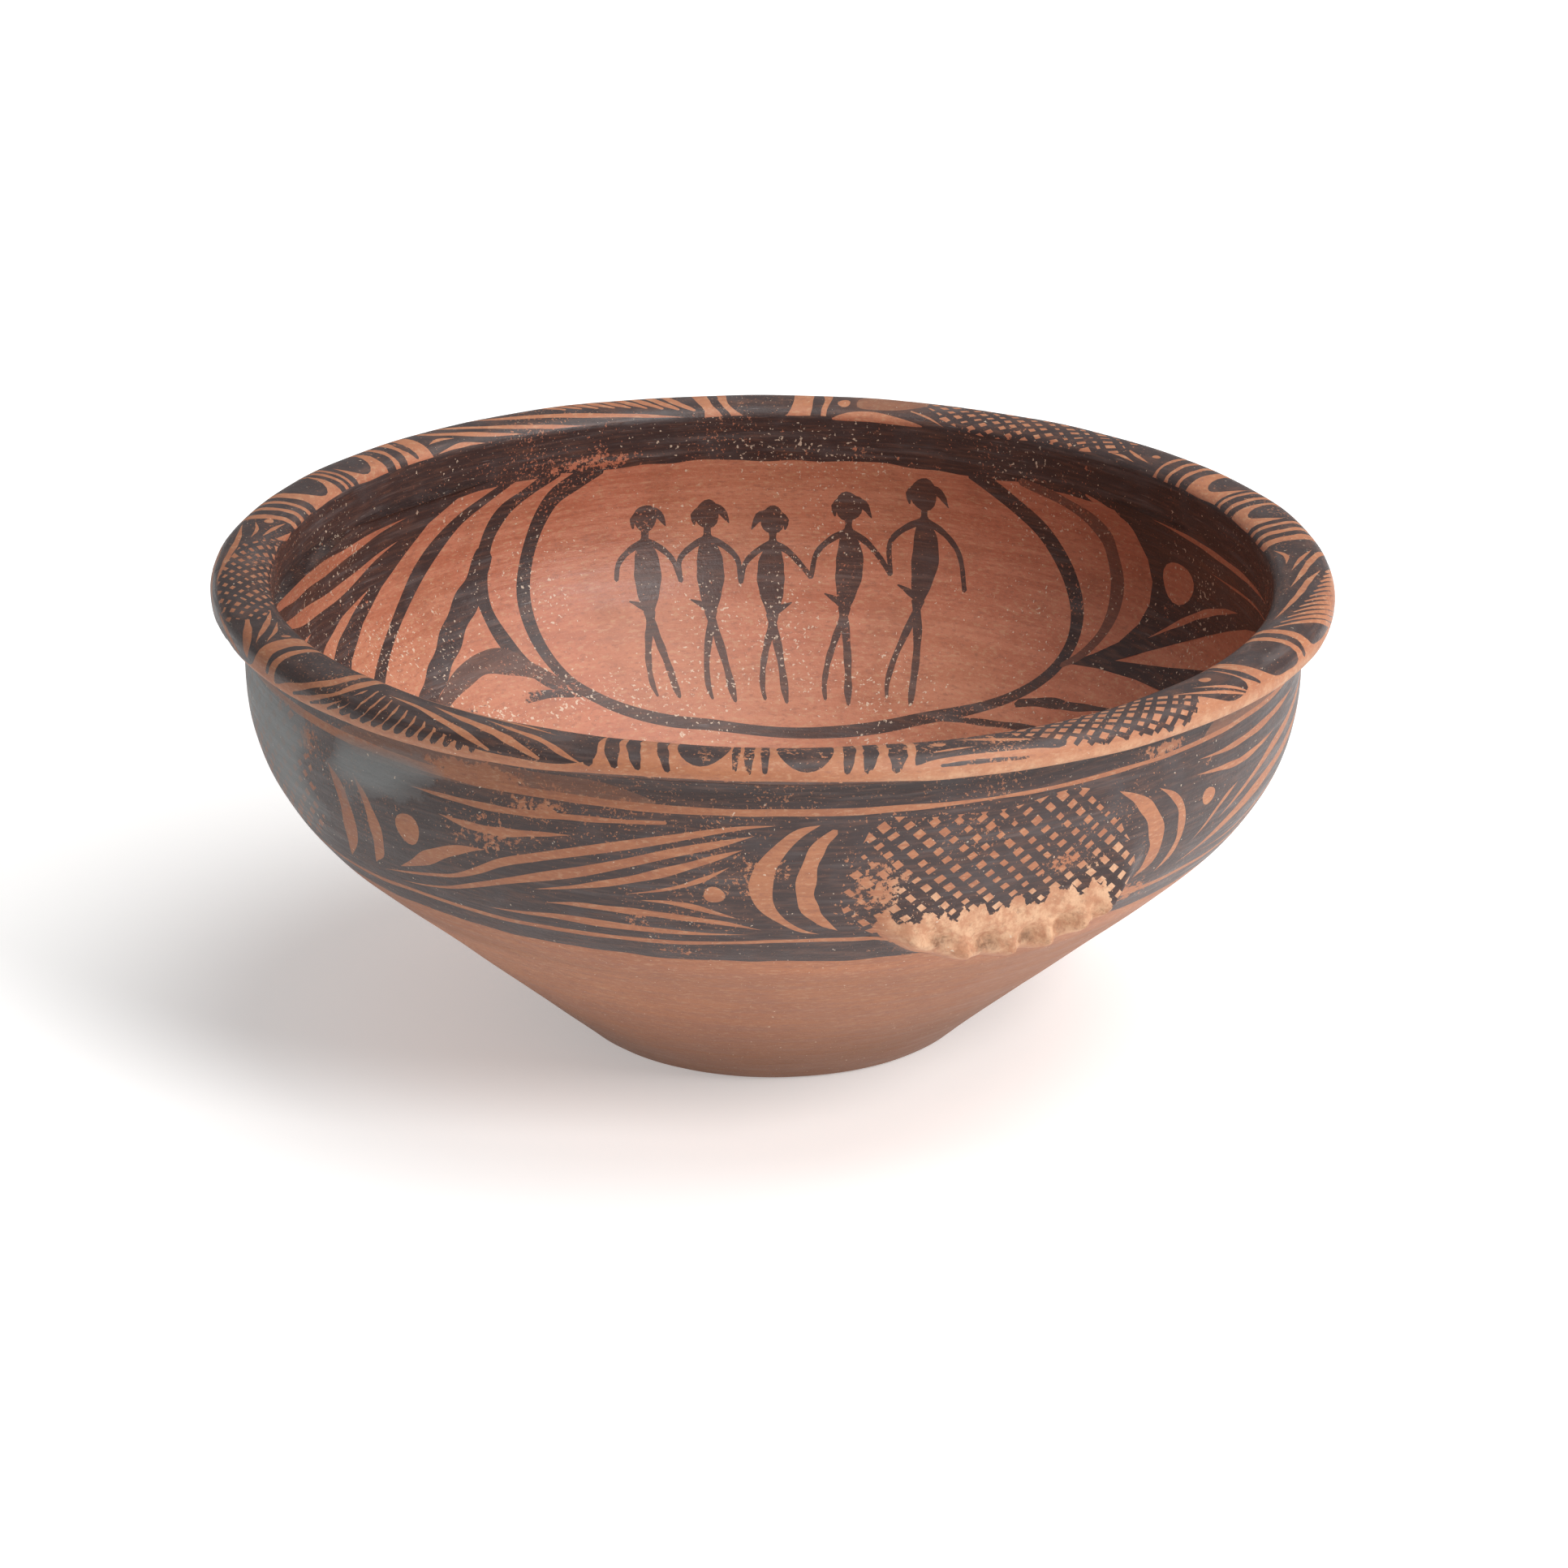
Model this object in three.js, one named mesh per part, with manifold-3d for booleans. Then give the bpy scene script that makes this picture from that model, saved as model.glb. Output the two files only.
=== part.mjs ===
// A wide hand-built earthenware basin: flat base, straight flaring cone, rounded belly, short neck,
// heavy rolled lip, and two pinched ledge lugs low on the belly. It is one fired body of clay.
// Millimetres, +Z up. The base stands on Z = 0 and the axis of the lip is X = Y = 0.
import * as THREE from "three";
import { mergeVertices } from "three/addons/utils/BufferGeometryUtils.js";
import Module from "manifold-3d";

const wasm = await Module();
wasm.setup();

// Overall sizes
const height = 128; // standing surface to the crest of the lip, at the middle of its slope
const baseRadius = 51.5; // flat underside
const bellyRadius = 141.3; // widest part of the belly
const lipOverhang = 8.7; // how far the lip stands out beyond the belly
const rimDrop = 1.3; // the hand-built lip is this much lower at +X, and higher at -X

// Wall
const wallThickness = 6.8;
const floorThickness = 9;
const floorRound = 26; // how far the floor curves up into the cone
const footRound = 2.2; // worn edge of the base

// Outline of the belly and neck, measured down from the crest
const neckDepth = 24.5; // crest to the widest part of the belly
const bellyDepth = 46.5; // widest part of the belly to the top of the cone
const bellyTuck = 23; // how much narrower the cone's top is than the belly
const bellyFullness = 20; // length of the belly curve's handles
const neckTuck = 0.6; // how much the neck draws in above the belly

// Lip
const lipDepth = 8.6; // crest to underside
const lipWidth = 16; // outer edge to the inner edge
const lipEdgeRound = 3; // outer edge's rounding
const crestInset = 7.4; // crest of the lip, in from its outer edge
const lipRoll = 4; // how far the lip rolls down to its inner edge
const lipFillet = 3; // fillet between neck and lip

// Ledge lugs, each a crescent strip of clay smoothed into the wall above and pressed by fingertips below
const lugAzimuths = [26.5, 206.5]; // degrees from -Y towards +X
const lugHalfSpan = 17.5; // degrees
const lugAboveShoulder = 6; // height of the lug's edge above the cone's top, at its middle
const lugArch = 13; // how much higher the edge is at its ends
const lugTopBlend = 18; // how far up the wall the strip is smoothed in
const lugUnderBlend = 8; // how far down the wall its underside reaches
const lugReach = 10; // how far its edge stands out from the wall
const lugTaper = 0.5; // share of the half span over which each end swells out of the wall
const lugScallopDepth = 3; // depth of a fingertip's hollow in the edge
const lugScallopFade = 0.5; // share of the top over which the hollows fade
const lugScallops = 4; // hollows, with a crest of the edge at both sides of each
const lugScallopPitch = 5.4; // degrees between two crests
const lugTopHollow = 1.6; // above 1, the top sweeps out in a hollow curve
const lugUnderRound = 2; // above 1, the underside is rounded
const lugRoot = 2.6; // how deep the strip's back lies in the wall

// How finely the surface is divided
const footSteps = 2;
const coneSteps = 3;
const wallSteps = 9;
const lipSteps = 4;
const floorSteps = 5;
const turns = 80;
const lugColumns = 34;
const lugRows = 10;

const lipRadius = bellyRadius + lipOverhang;
const bellyHeight = height - neckDepth;
const shoulderHeight = bellyHeight - bellyDepth;
const shoulderRadius = bellyRadius - bellyTuck;
const neckRadius = bellyRadius - neckTuck;
const lipUnder = height - lipDepth;
const crestRadius = lipRadius - crestInset;
const throatRadius = lipRadius - lipWidth;

// Direction of the cone, seen in the half section
function coneRise() {
  return new THREE.Vector2(shoulderRadius - baseRadius, shoulderHeight).normalize();
}

// Worn edge between the flat base and the cone
function foot() {
  const rise = coneRise();
  const edge = new THREE.Path();
  edge.moveTo(baseRadius - footRound, 0);
  edge.quadraticCurveTo(baseRadius, 0, baseRadius + rise.x * footRound, rise.y * footRound);
  return edge;
}

// Outer wall from the foot to the top of the neck
function outerWall() {
  const rise = coneRise();
  const wall = new THREE.Path();
  const low = new THREE.Vector2(baseRadius + rise.x * footRound, rise.y * footRound);
  const high = new THREE.Vector2(shoulderRadius, shoulderHeight);
  wall.moveTo(low.x, low.y);
  for (let step = 1; step <= coneSteps; step += 1) {
    const point = low.clone().lerp(high, step / coneSteps);
    wall.lineTo(point.x, point.y);
  }
  wall.bezierCurveTo(
    shoulderRadius + rise.x * bellyFullness,
    shoulderHeight + rise.y * bellyFullness,
    bellyRadius,
    bellyHeight - bellyFullness,
    bellyRadius,
    bellyHeight,
  );
  wall.lineTo(neckRadius, lipUnder - lipFillet);
  return wall;
}

// The rolled lip from its fillet with the neck, round its edge and over its crest to its inner edge
function rolledLip() {
  const lip = new THREE.Path();
  lip.moveTo(neckRadius, lipUnder - lipFillet);
  lip.quadraticCurveTo(neckRadius, lipUnder, neckRadius + lipFillet, lipUnder);
  lip.lineTo(lipRadius - lipEdgeRound, lipUnder);
  lip.quadraticCurveTo(lipRadius, lipUnder, lipRadius, lipUnder + lipEdgeRound);
  lip.quadraticCurveTo(lipRadius, height, crestRadius, height);
  lip.bezierCurveTo(
    (crestRadius + throatRadius) / 2,
    height,
    throatRadius,
    height - lipRoll / 4,
    throatRadius,
    height - lipRoll,
  );
  return lip;
}

// Points moved in from the outer wall by its thickness, square to the wall
function movedIn(outer) {
  return outer.map((p, i) => {
    const before = outer[Math.max(i - 1, 0)];
    const after = outer[Math.min(i + 1, outer.length - 1)];
    const along = after.clone().sub(before).normalize();
    return new THREE.Vector2(p.x - along.y * wallThickness, p.y + along.x * wallThickness);
  });
}

// The floor, rounded up into the inside of the cone, from its top to its flat middle
function floorCurve(coneInside) {
  const rise = coneRise();
  const meet = coneInside.x - ((coneInside.y - floorThickness) * rise.x) / rise.y;
  const floor = new THREE.Path();
  floor.moveTo(meet + rise.x * floorRound, floorThickness + rise.y * floorRound);
  floor.quadraticCurveTo(meet, floorThickness, meet - floorRound, floorThickness);
  return floor;
}

// The whole half section, from the middle of the base out, up, over the lip and down to the floor
function section() {
  const outer = outerWall().getPoints(wallSteps);
  const inner = movedIn(outer).reverse();
  const coneInside = inner.pop();
  return [
    new THREE.Vector2(0, 0),
    ...foot().getPoints(footSteps),
    ...outer.slice(1),
    ...rolledLip().getPoints(lipSteps).slice(1),
    ...inner.slice(1),
    ...floorCurve(coneInside).getPoints(floorSteps),
    new THREE.Vector2(0, floorThickness),
  ];
}

// A closed geometry as a solid that can be joined to another
function solidOf(geometry) {
  const bare = geometry.clone();
  bare.deleteAttribute("normal");
  bare.deleteAttribute("uv");
  const merged = mergeVertices(bare, 1e-4);
  const index = merged.index.array;
  const kept = [];
  for (let i = 0; i < index.length; i += 3) {
    const [a, b, c] = [index[i], index[i + 1], index[i + 2]];
    if (a !== b && b !== c && c !== a) kept.push(a, b, c);
  }
  const mesh = new wasm.Mesh({
    numProp: 3,
    vertProperties: merged.attributes.position.array,
    triVerts: new Uint32Array(kept),
  });
  return new wasm.Manifold(mesh);
}

// A solid as a geometry again
function geometryOf(solid) {
  const mesh = solid.getMesh();
  const geometry = new THREE.BufferGeometry();
  geometry.setAttribute("position", new THREE.BufferAttribute(mesh.vertProperties.slice(), 3));
  geometry.setIndex(new THREE.BufferAttribute(mesh.triVerts.slice(), 1));
  geometry.computeVertexNormals();
  return geometry;
}

// Radius of the outer wall at a height
function wallRadius(z, points) {
  const i = Math.max(1, points.findIndex((p) => p.y >= z));
  const [a, b] = [points[i - 1], points[i]];
  return a.x + ((z - a.y) * (b.x - a.x)) / (b.y - a.y);
}

// How far a lug stands out from the wall. u runs -1 to 1 along the strip, v from -1 at the foot of its
// underside, through 0 at its edge, to 1 where its top is smoothed into the wall.
function lugRelief(u, v) {
  const degrees = u * lugHalfSpan;
  const pressed = Math.abs(degrees) < (lugScallops * lugScallopPitch) / 2;
  const hollow = pressed ? Math.abs(Math.sin((Math.PI * degrees) / lugScallopPitch)) : 0;
  const fade = Math.max(0, 1 - Math.max(v, 0) / lugScallopFade);
  const taper = THREE.MathUtils.smoothstep(1 - Math.abs(u), 0, lugTaper);
  const edge = (lugReach - lugScallopDepth * hollow * fade) * taper;
  const fall = v < 0 ? 1 - (-v) ** (lugUnderRound - hollow) : (1 - v) ** lugTopHollow;
  return (edge + lugRoot / 2) * fall - lugRoot / 2;
}

// A ledge lug as a closed strip: its outer face over the wall and its back within it
function lugGeometry(azimuth, wall) {
  const position = [];
  for (const face of [0, 1]) {
    for (let row = 0; row <= lugRows; row += 1) {
      const v = -1 + (2 * row) / lugRows;
      for (let column = 0; column <= lugColumns; column += 1) {
        const u = -1 + (2 * column) / lugColumns;
        const edgeHeight = shoulderHeight + lugAboveShoulder + lugArch * u * u;
        const z = edgeHeight + v * (v < 0 ? lugUnderBlend : lugTopBlend);
        const r = wallRadius(z, wall) + (face === 0 ? lugRelief(u, v) : -lugRoot);
        const angle = THREE.MathUtils.degToRad(azimuth + u * lugHalfSpan);
        position.push(r * Math.sin(angle), -r * Math.cos(angle), z);
      }
    }
  }
  const across = lugColumns + 1;
  const back = across * (lugRows + 1);
  const index = [];
  const quad = (a, b, c, d) => index.push(a, b, c, a, c, d);
  for (let row = 0; row < lugRows; row += 1) {
    for (let column = 0; column < lugColumns; column += 1) {
      const a = row * across + column;
      quad(a, a + 1, a + 1 + across, a + across);
      quad(back + a + across, back + a + 1 + across, back + a + 1, back + a);
    }
    const [left, right] = [row * across, row * across + lugColumns];
    quad(back + left, left, left + across, back + left + across);
    quad(right, back + right, back + right + across, right + across);
  }
  for (let column = 0; column < lugColumns; column += 1) {
    const [low, high] = [column, lugRows * across + column];
    quad(low + 1, low, back + low, back + low + 1);
    quad(high, high + 1, back + high + 1, back + high);
  }
  const geometry = new THREE.BufferGeometry();
  geometry.setAttribute("position", new THREE.Float32BufferAttribute(position, 3));
  geometry.setIndex(index);
  return geometry;
}

// The lip of the hand-built bowl isn't quite level: the walls shear a little, and the base stays flat
function settle(geometry) {
  const position = geometry.attributes.position;
  for (let i = 0; i < position.count; i += 1) {
    const drop = (rimDrop * position.getX(i) * position.getZ(i)) / (lipRadius * height);
    position.setZ(i, position.getZ(i) - drop);
  }
  geometry.computeVertexNormals();
  return geometry;
}

function bowlGeometry() {
  const lathe = new THREE.LatheGeometry(section(), turns);
  lathe.rotateX(Math.PI / 2);
  const wall = outerWall().getPoints(wallSteps);
  let body = solidOf(lathe);
  for (const azimuth of lugAzimuths) body = body.add(solidOf(lugGeometry(azimuth, wall)));
  return settle(geometryOf(body));
}

const clay = new THREE.MeshStandardMaterial({ color: 0xb8694a, roughness: 0.62, metalness: 0 });
const bowl = new THREE.Mesh(bowlGeometry(), clay);
bowl.name = "bowl";

const model = new THREE.Group();
model.add(bowl);

export default model;
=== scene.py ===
# A wide hand-built earthenware basin, painted in brown-black slip with nets, crescents, fans of leaf
# strokes and a row of dancing figures inside. Sizes are in millimetres until a mesh is made of them.
import math
import random

import bpy
import numpy as np
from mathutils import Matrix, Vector
from mathutils.geometry import delaunay_2d_cdt


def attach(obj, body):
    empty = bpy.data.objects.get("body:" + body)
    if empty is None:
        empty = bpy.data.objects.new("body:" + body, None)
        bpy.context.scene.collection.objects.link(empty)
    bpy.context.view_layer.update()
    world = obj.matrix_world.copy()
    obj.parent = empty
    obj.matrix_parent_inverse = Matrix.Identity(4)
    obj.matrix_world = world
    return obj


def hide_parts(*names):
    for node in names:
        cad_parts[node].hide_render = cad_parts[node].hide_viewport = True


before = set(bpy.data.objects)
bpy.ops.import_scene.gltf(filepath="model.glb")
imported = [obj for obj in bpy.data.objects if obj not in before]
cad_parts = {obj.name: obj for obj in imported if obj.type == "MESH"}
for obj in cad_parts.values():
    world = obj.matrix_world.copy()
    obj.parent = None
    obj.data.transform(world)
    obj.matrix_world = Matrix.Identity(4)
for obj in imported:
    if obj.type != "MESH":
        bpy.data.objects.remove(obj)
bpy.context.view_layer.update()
rng = random.Random(7)

MM = 0.001

# Sizes of the clay body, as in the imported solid
HEIGHT = 128.0
BASE_RADIUS = 51.5
BELLY_RADIUS = 141.3
LIP_OVERHANG = 8.7
RIM_DROP = 1.3
WALL = 6.8
FLOOR = 9.0
FLOOR_ROUND = 26.0
FOOT_ROUND = 2.2
NECK_DEPTH = 24.5
BELLY_DEPTH = 46.5
BELLY_TUCK = 23.0
BELLY_FULLNESS = 20.0
NECK_TUCK = 0.6
LIP_DEPTH = 8.6
LIP_WIDTH = 16.0
LIP_EDGE = 3.0
CREST_INSET = 7.4
LIP_ROLL = 4.0
LIP_FILLET = 3.0
LIP_RADIUS = BELLY_RADIUS + LIP_OVERHANG
BELLY_HEIGHT = HEIGHT - NECK_DEPTH
SHOULDER_HEIGHT = BELLY_HEIGHT - BELLY_DEPTH
SHOULDER_RADIUS = BELLY_RADIUS - BELLY_TUCK
NECK_RADIUS = BELLY_RADIUS - NECK_TUCK
LIP_UNDER = HEIGHT - LIP_DEPTH
CREST_RADIUS = LIP_RADIUS - CREST_INSET
THROAT_RADIUS = LIP_RADIUS - LIP_WIDTH

# Ledge lugs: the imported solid's crescent, with each fingertip's hollow placed as it shows
LUG_AZIMUTHS = (26.5, 206.5)
LUG_HALF_SPAN = 17.5
LUG_EDGE_HEIGHT = SHOULDER_HEIGHT + 9.3
LUG_ARCH = 17.0
LUG_TOP = 18.0
LUG_UNDER = 6.4
LUG_REACH = 9.6
LUG_TAPER = 0.5
LUG_TILT = 6.0
HOLLOW_SPREAD = 1.12
HOLLOW_LIFT = 0.26
# each hollow: degrees from the lug's middle, half width in degrees, depth in millimetres
LUG_HOLLOWS = (
    (-13.4, 1.7, 1.6), (-8.6, 2.9, 4.6), (-2.6, 2.9, 5.4), (2.3, 2.0, 5.2), (6.2, 1.8, 4.0),
    (9.4, 1.3, 2.0),
)

# The chart that the surface is divided and painted in: degrees of azimuth across, millimetres of the
# half section upwards. Azimuth runs from -Y towards +X, and the section from the middle of the base
# over the lip to the middle of the floor.
CHART_SCALE = 2.4
COLUMN_SHIFT = 0.2
COLUMNS = 360
CLEARANCE = 0.55

# Tones of the slip, from bare clay to thick slip
DARK = 1.0
CLEAR = 0.0
FIGURE = 0.93
WASH = 0.72

# The photograph's view: frame and focal length in pixels, distance in metres, angles in degrees
SENSOR = 36.0
PHOTO_PIXELS = 1932
FOCAL_PIXELS = 9000
CAMERA_DISTANCE = 2.0
CAMERA_ELEVATION = 22.86
CAMERA_PITCH = 21.138
CAMERA_YAW = 0.094


def curve(*control, steps=24):
    """Points of a quadratic or cubic Bezier curve, without its first."""
    t = np.linspace(0, 1, steps + 1)[1:, None]
    p = [np.array(c, float) for c in control]
    if len(p) == 3:
        return (1 - t) ** 2 * p[0] + 2 * t * (1 - t) * p[1] + t**2 * p[2]
    return (1 - t) ** 3 * p[0] + 3 * t * (1 - t) ** 2 * p[1] + 3 * t**2 * (1 - t) * p[2] + t**3 * p[3]


def line(a, b, steps=12):
    """Points of a straight line, without its first."""
    t = np.linspace(0, 1, steps + 1)[1:, None]
    return (1 - t) * np.array(a, float) + t * np.array(b, float)


class Section:
    """The bowl's half section as a dense line of (radius, height) points with its running length."""

    def __init__(self):
        rise = np.array([SHOULDER_RADIUS - BASE_RADIUS, SHOULDER_HEIGHT])
        rise /= np.linalg.norm(rise)
        low = (BASE_RADIUS + rise[0] * FOOT_ROUND, rise[1] * FOOT_ROUND)
        shoulder = (SHOULDER_RADIUS, SHOULDER_HEIGHT)
        foot = curve((BASE_RADIUS - FOOT_ROUND, 0), (BASE_RADIUS, 0), low, steps=6)
        belly_low = (shoulder[0] + rise[0] * BELLY_FULLNESS, shoulder[1] + rise[1] * BELLY_FULLNESS)
        belly = curve(shoulder, belly_low, (BELLY_RADIUS, BELLY_HEIGHT - BELLY_FULLNESS),
                      (BELLY_RADIUS, BELLY_HEIGHT), steps=60)
        neck_top = (NECK_RADIUS, LIP_UNDER - LIP_FILLET)
        wall = np.vstack([[low], line(low, shoulder, 60), belly, line(belly[-1], neck_top)])
        fillet_end = (NECK_RADIUS + LIP_FILLET, LIP_UNDER)
        edge = (LIP_RADIUS - LIP_EDGE, LIP_UNDER)
        outermost = (LIP_RADIUS, LIP_UNDER + LIP_EDGE)
        crest = (CREST_RADIUS, HEIGHT)
        throat = (THROAT_RADIUS, HEIGHT - LIP_ROLL)
        under = np.vstack([curve(neck_top, (NECK_RADIUS, LIP_UNDER), fillet_end),
                           line(fillet_end, edge, 4)])
        over = np.vstack([
            curve(edge, (LIP_RADIUS, LIP_UNDER), outermost),
            curve(outermost, (LIP_RADIUS, HEIGHT), crest),
            curve(crest, ((CREST_RADIUS + THROAT_RADIUS) / 2, HEIGHT),
                  (THROAT_RADIUS, HEIGHT - LIP_ROLL / 4), throat),
        ])
        along = np.gradient(wall, axis=0)
        along /= np.linalg.norm(along, axis=1)[:, None]
        inner = (wall + WALL * np.stack([-along[:, 1], along[:, 0]], axis=1))[::-1]
        meet = inner[-1][0] - (inner[-1][1] - FLOOR) * rise[0] / rise[1]
        bend = (meet + rise[0] * FLOOR_ROUND, FLOOR + rise[1] * FLOOR_ROUND)
        inner = inner[inner[:, 1] > bend[1]]
        floor = curve(bend, (meet, FLOOR), (meet - FLOOR_ROUND, FLOOR))
        parts = [[(0, 0)], [foot[0]], foot[1:], wall[1:], under, over, inner, [bend], floor, [(0, FLOOR)]]
        points = np.vstack(parts)
        self.s = np.r_[0, np.cumsum(np.linalg.norm(np.diff(points, axis=0), axis=1))]
        self.r = points[:, 0]
        self.z = points[:, 1]
        ends = np.cumsum([len(p) for p in parts])
        self.wall = slice(ends[2] - 1, ends[3])
        self.inner = slice(ends[5] - 1, ends[8])
        self.foot = self.s[ends[2] - 1]
        self.lip_edge = self.s[ends[4] - 1]
        self.throat = self.s[ends[5] - 1]
        self.end = self.s[-1]

    def outer(self, z):
        """Running length at a height on the outer wall."""
        return np.interp(z, self.z[self.wall], self.s[self.wall])

    def inside(self, z):
        """Running length at a height on the inner wall."""
        return np.interp(z, self.z[self.inner][::-1], self.s[self.inner][::-1])

    def rim(self, w):
        """Running length at w millimetres over the lip from its lower outer corner."""
        return self.lip_edge + w + 0.9

    def at(self, s):
        """Radius and height at a running length."""
        return np.interp(s, self.s, self.r), np.interp(s, self.s, self.z)


section = Section()
BAND_LOW = float(section.outer(50.0))
LIP_START = section.lip_edge
LIP_END = float(section.inside(117.0))
INSIDE_LOW = float(section.inside(36.0))


def smoothstep(x, low, high):
    t = np.clip((x - low) / (high - low), 0, 1)
    return t * t * (3 - 2 * t)


def on_lip(s):
    """0 below the lip's outer edge and 1 from there on, with a soft step."""
    return smoothstep(s, section.lip_edge - 2, section.lip_edge + 2)


def turned(phi, centre):
    """Azimuth counted from a centre, from -180 to 180."""
    return (phi - centre + 180) % 360 - 180


def blots(phi, z, places):
    """Sum of soft spots, each with its azimuth, height, two half sizes and strength."""
    total = np.zeros(len(phi))
    for middle, height, across, up, strength in places:
        total += strength * np.exp(-((turned(phi, middle) / across) ** 2) - ((z - height) / up) ** 2)
    return total


def lug_place(phi, z, azimuth):
    """Shares along and up a lug, height above its edge, and the depth of the hollows there."""
    degrees = turned(phi, azimuth)
    u = degrees / LUG_HALF_SPAN
    hollow = np.zeros_like(phi)
    for middle, half, depth in LUG_HOLLOWS:
        near = 1 - np.abs(degrees - middle) / (HOLLOW_SPREAD * half)
        hollow = np.maximum(hollow, depth * smoothstep(near, 0, 1))
    tilt = LUG_TILT * np.clip(u - 0.3, 0, 1)
    up = z - (LUG_EDGE_HEIGHT + LUG_ARCH * u * u + tilt + HOLLOW_LIFT * hollow - 0.6)
    v = np.where(up < 0, up / LUG_UNDER, up / LUG_TOP)
    return u, v, up, hollow


def lug_relief(phi, z):
    """How far the lugs stand out from the wall at an azimuth and a height."""
    out = np.zeros_like(phi)
    for azimuth in LUG_AZIMUTHS:
        u, v, up, hollow = lug_place(phi, z, azimuth)
        inside = (np.abs(u) < 1) & (np.abs(v) < 1)
        u = np.clip(u, -1, 1)
        v = np.clip(v, -1, 1)
        taper = smoothstep(1 - np.abs(u), 0, LUG_TAPER)
        press = hollow * taper * np.exp(-(((up - 1.5) / np.where(up < 1.5, 3.4, 3.6)) ** 2))
        lip = 1.2 * taper * np.exp(-(((up - 0.5) / 2.6) ** 2)) * (1 - np.clip(hollow / 2, 0, 1))
        fall = np.where(v < 0, 1 - np.abs(v) ** 1.7, (1 - np.clip(v, 0, 1)) ** 1.75)
        swell = 0.5 * np.sin(u * 9 + 1) * np.sin(z * 0.55) * taper
        rough = 0.22 * np.sin(u * 61 + z) * np.sin(z * 1.9 + u * 17) * taper
        stand = LUG_REACH * taper * fall + lip - press + (swell + rough) * (1 - np.abs(v))
        out += np.where(inside, stand, 0)
    return out


def unevenness(phi, s):
    """Small waves that a hand-built wall has, in millimetres square to the profile."""
    a = np.radians(phi)
    slow = 0.22 * np.sin(2 * a + 0.7 + s / 60) + 0.16 * np.sin(3 * a + 2.1 - s / 41)
    fine = 0.09 * np.sin(7 * a + s / 17) + 0.07 * np.sin(11 * a - s / 11 + 1.3)
    finer = 0.05 * np.sin(19 * a + s / 6.5) + 0.035 * np.sin(31 * a - s / 4.3)
    return slow + fine + finer


def surface(phi, s):
    """Place of chart points in the bowl's frame, in millimetres."""
    phi = np.asarray(phi, float)
    s = np.asarray(s, float)
    r, z = section.at(s)
    ahead = section.at(s + 0.5)
    behind = section.at(s - 0.5)
    along = np.stack([ahead[0] - behind[0], ahead[1] - behind[1]])
    along /= np.maximum(np.linalg.norm(along, axis=0), 1e-9)
    calm = smoothstep(s, section.foot - 6, section.foot + 10) * smoothstep(section.end - s, 0, 30)
    wave = unevenness(phi, s) * calm
    outside = s < section.lip_edge
    # the lip's lower corner stands a little higher at the front
    corner = np.exp(-(((s - section.rim(0.5)) / 4.5) ** 2)) * np.exp(-((turned(phi, -4) / 25) ** 2))
    z = z + 1.9 * corner
    r = r + wave * along[1] + np.where(outside, lug_relief(phi, z), 0)
    z = z - wave * along[0]
    a = np.radians(phi)
    x = r * np.sin(a)
    y = -r * np.cos(a)
    z = z - RIM_DROP * x * z / (LIP_RADIUS * HEIGHT)
    return np.stack([x, y, z], axis=-1)


# Brush strokes. Each helper adds one outline with its tone. Later outlines cover earlier ones.


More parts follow.
